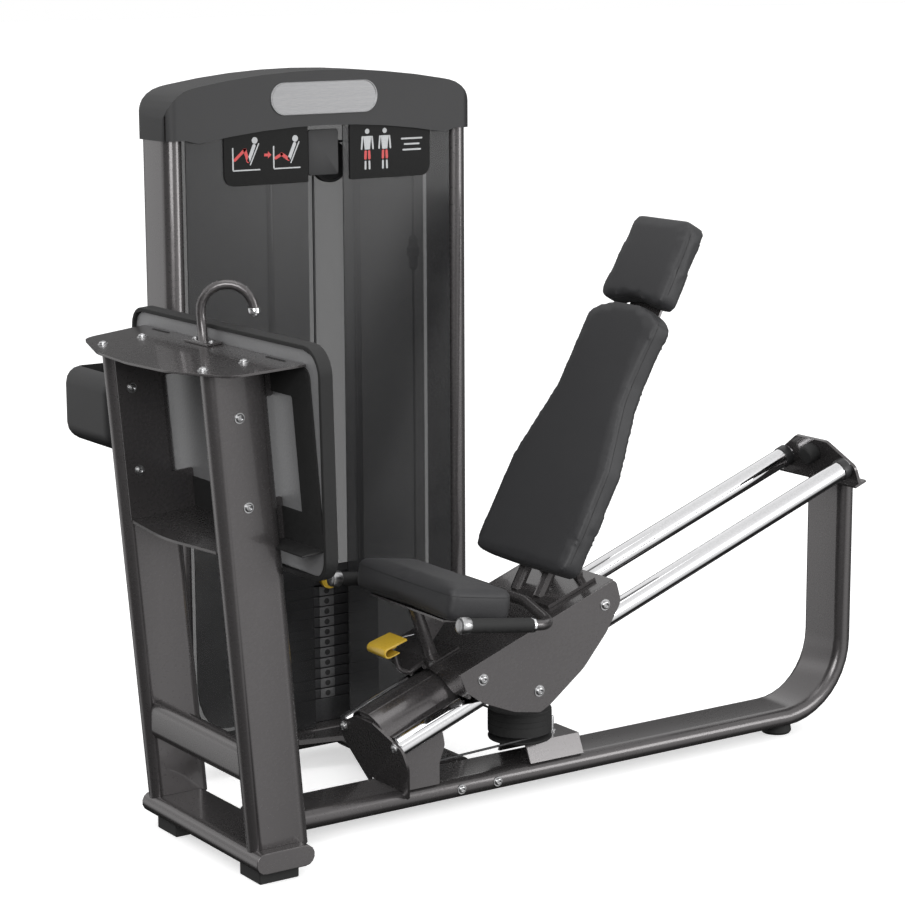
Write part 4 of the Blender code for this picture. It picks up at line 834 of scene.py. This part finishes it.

# dark frame on the footplate's rear face, with a ledge either side of the shelf; its black is
# partly the border's own dark colour and partly painted shade under the top plate
bm = bmesh.new()
back = 0.1088
outer, inner = round_rect(-0.350, 0.706, 0.350, 1.088, 0.020), round_rect(
    -0.275, 0.780, 0.275, 1.022, 0.006)
loops = [[bm.verts.new(leaned(x, y, z)) for y, z in line]
         for line, x in ((outer, back), (outer, back - 0.003), (inner, back - 0.003),
                         (inner, back))]
skin(bm, loops + [loops[0]], False)
for low_y, high_y in ((-0.345, -0.178), (0.178, 0.345)):
    add_slab(bm, [(back - 0.052, low_y), (back - 0.002, low_y), (back - 0.002, high_y),
                  (back - 0.052, high_y)], lambda a, b, d: leaned(a, b, 0.708 + d), 0.004)
piece("footplate_frame_and_shade", bm, RUBBER, "machine", 30)

# two dark strips of painted shade on the top plate that stand for its slots, with no opening
# behind them
bm = bmesh.new()
for y in (-0.2445, 0.2445):
    add_slab(bm, round_rect(0.0915, y - 0.038, 0.0965, y + 0.038, 0.0022, 4),
             lambda a, b, d: leaned(a, b, 1.0965 + d), 0.0008, 0.0002)
piece("top_plate_slot_shade", bm, RUBBER, "machine", 30)

# ferrule and button at the towel hook's free end
bm = bmesh.new()
tip = leaned(0.086 + 0.112 * 0.83, 0.040 - 0.112 * 0.56, 1.1545)
add_lathe(bm, [(0.0080, 0.0090), (0.0120, 0.0086), (0.0126, 0.0074), (0.0126, -0.0020),
               (0.0116, -0.0034), (0.0070, -0.0040), (0.0068, -0.0080), (0.0050, -0.0104),
               (0, -0.0110)], tip, LEAN_UP, 32)
piece("hook_ferrule", bm, CHROME, "machine", 35)

# upright pin on the pulley bracket
bm = bmesh.new()
add_lathe(bm, [(0, -0.001), (0.0110, -0.001), (0.0110, 0.003), (0.0062, 0.0036), (0.0062, 0.034),
               (0.0052, 0.0365), (0, 0.037)], at(0.862, 0, 0.1205), UP, 28)
piece("bracket_pin", bm, BRIGHT, "machine", 35)

bm = bmesh.new()
spot = at(0.827, 0.5175, 1.19)
add_lathe(bm, [(0, -0.040), (0.006, -0.040), (0.011, -0.032), (0.011, -0.010), (0.015, -0.006),
               (0.015, 0.012), (0.011, 0.018), (0.011, 0.034), (0.006, 0.042), (0, 0.042)],
          spot, UP, 28)
piece("cable_connector", bm, NYLON, "machine", 30)

# rail ends at the high plate: dark sockets with a bore
for side, y in (("near", -0.105), ("far", 0.105)):
    low_u = 1.0272
    bm = bmesh.new()
    add_lathe(bm, [(0.010, -0.0240), (0.0245, -0.0240), (0.0262, -0.0222), (0.0262, -0.004),
                   (0.0252, -0.0020), (0.0242, -0.0020), (0.0242, -0.0240)],
              on_carriage(low_u, y, 0), ALONG, 40)
    piece(f"rail_socket_{side}", bm, NYLON, "machine", 30)

# ---- studio -------------------------------------------------------------------------------
bm = bmesh.new()
bmesh.ops.create_grid(bm, x_segments=2, y_segments=2, size=60)
mesh = bpy.data.meshes.new("floor")
bm.to_mesh(mesh)
bm.free()
floor = bpy.data.objects.new("floor", mesh)
floor.location.z = -0.0005
bpy.context.scene.collection.objects.link(floor)
mesh.materials.append(surface("floor_white", (0.86, 0.86, 0.86), (0.88, 0.88, 0.88), 0,
                              (0.6, 0.7), 2, bump=0.0, glow=0.55, specular=0.1))
floor.visible_diffuse = floor.visible_glossy = floor.visible_transmission = False
floor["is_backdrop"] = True


def area(name, spot, target, size, power, shape="RECTANGLE"):
    data = bpy.data.lights.new(name, "AREA")
    data.shape, data.size, data.size_y, data.energy = shape, size[0], size[1], power
    lamp = bpy.data.objects.new(name, data)
    lamp.location = spot
    lamp.rotation_euler = (Vector(target) - Vector(spot)).to_track_quat("-Z", "Y").to_euler()
    bpy.context.scene.collection.objects.link(lamp)


area("key", (-3.4, -4.4, 2.6), (0, 0, 0.7), (3.0, 2.4), 150)
area("fill", (3.4, -4.6, 1.6), (0.2, 0, 0.6), (2.2, 2.2), 80)
area("top", (-0.6, -0.6, 4.6), (0, 0, 0), (3.0, 2.2), 28)

world = bpy.data.worlds.new("studio")
bpy.context.scene.world = world
world.use_nodes = True
tree = world.node_tree
new, link = tree.nodes.new, tree.links.new
background = tree.nodes["Background"]
where = new("ShaderNodeTexCoord")
split = new("ShaderNodeSeparateXYZ")
ramp = new("ShaderNodeValToRGB")
span = new("ShaderNodeMapRange")
span.inputs["From Min"].default_value, span.inputs["From Max"].default_value = -1, 1
link(where.outputs["Generated"], split.inputs["Vector"])
link(split.outputs["Z"], span.inputs["Value"])
link(span.outputs["Result"], ramp.inputs["Fac"])
stops = [(0.0, 0.01), (0.30, 0.02), (0.46, 0.22), (0.50, 0.22), (0.53, 0.05), (0.64, 0.06),
         (0.72, 1.00), (1.0, 0.80)]
while len(ramp.color_ramp.elements) < len(stops):
    ramp.color_ramp.elements.new(0.5)
for element, (position, value) in zip(ramp.color_ramp.elements, stops):
    element.position, element.color = position, (value, value, value, 1)
glow = ramp.outputs["Color"]
for aim, inner, outer, strength in (((0.42, -0.90, -0.10), 0.97, 0.70, 0.75),
                                    ((-0.62, 0.78, 0.05), 0.97, 0.80, 0.80)):
    facing = new("ShaderNodeVectorMath")
    facing.operation = "DOT_PRODUCT"
    facing.inputs[1].default_value = Vector(aim).normalized()
    link(where.outputs["Generated"], facing.inputs[0])
    lobe = new("ShaderNodeMapRange")
    lobe.interpolation_type = "SMOOTHSTEP"
    lobe.inputs["From Min"].default_value, lobe.inputs["From Max"].default_value = outer, inner
    lobe.inputs["To Max"].default_value = strength
    link(facing.outputs["Value"], lobe.inputs["Value"])
    add = new("ShaderNodeVectorMath")
    link(glow, add.inputs[0])
    link(lobe.outputs["Result"], add.inputs[1])
    glow = add.outputs["Vector"]
seen = new("ShaderNodeLightPath")
choose = new("ShaderNodeMix")
choose.data_type = "RGBA"
choose.inputs["B"].default_value = (1, 1, 1, 1)
link(seen.outputs["Is Camera Ray"], choose.inputs["Factor"])
link(glow, choose.inputs["A"])
link(choose.outputs["Result"], background.inputs["Color"])
background.inputs["Strength"].default_value = 1.0

data = bpy.data.cameras.new("camera")
data.lens, data.sensor_width, data.sensor_fit = 2651 * 36 / 922, 36, "AUTO"
camera = bpy.data.objects.new("camera", data)
camera.location = Vector((-2.641, -4.787, 1.91)) + SHIFT
camera.rotation_euler = tuple(math.radians(a) for a in (79.0199, 0.2651, -34.0714))
bpy.context.scene.collection.objects.link(camera)
bpy.context.scene.camera = camera
bpy.context.scene.view_settings.view_transform = "Standard"

bpy.context.view_layer.update()
low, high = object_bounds()
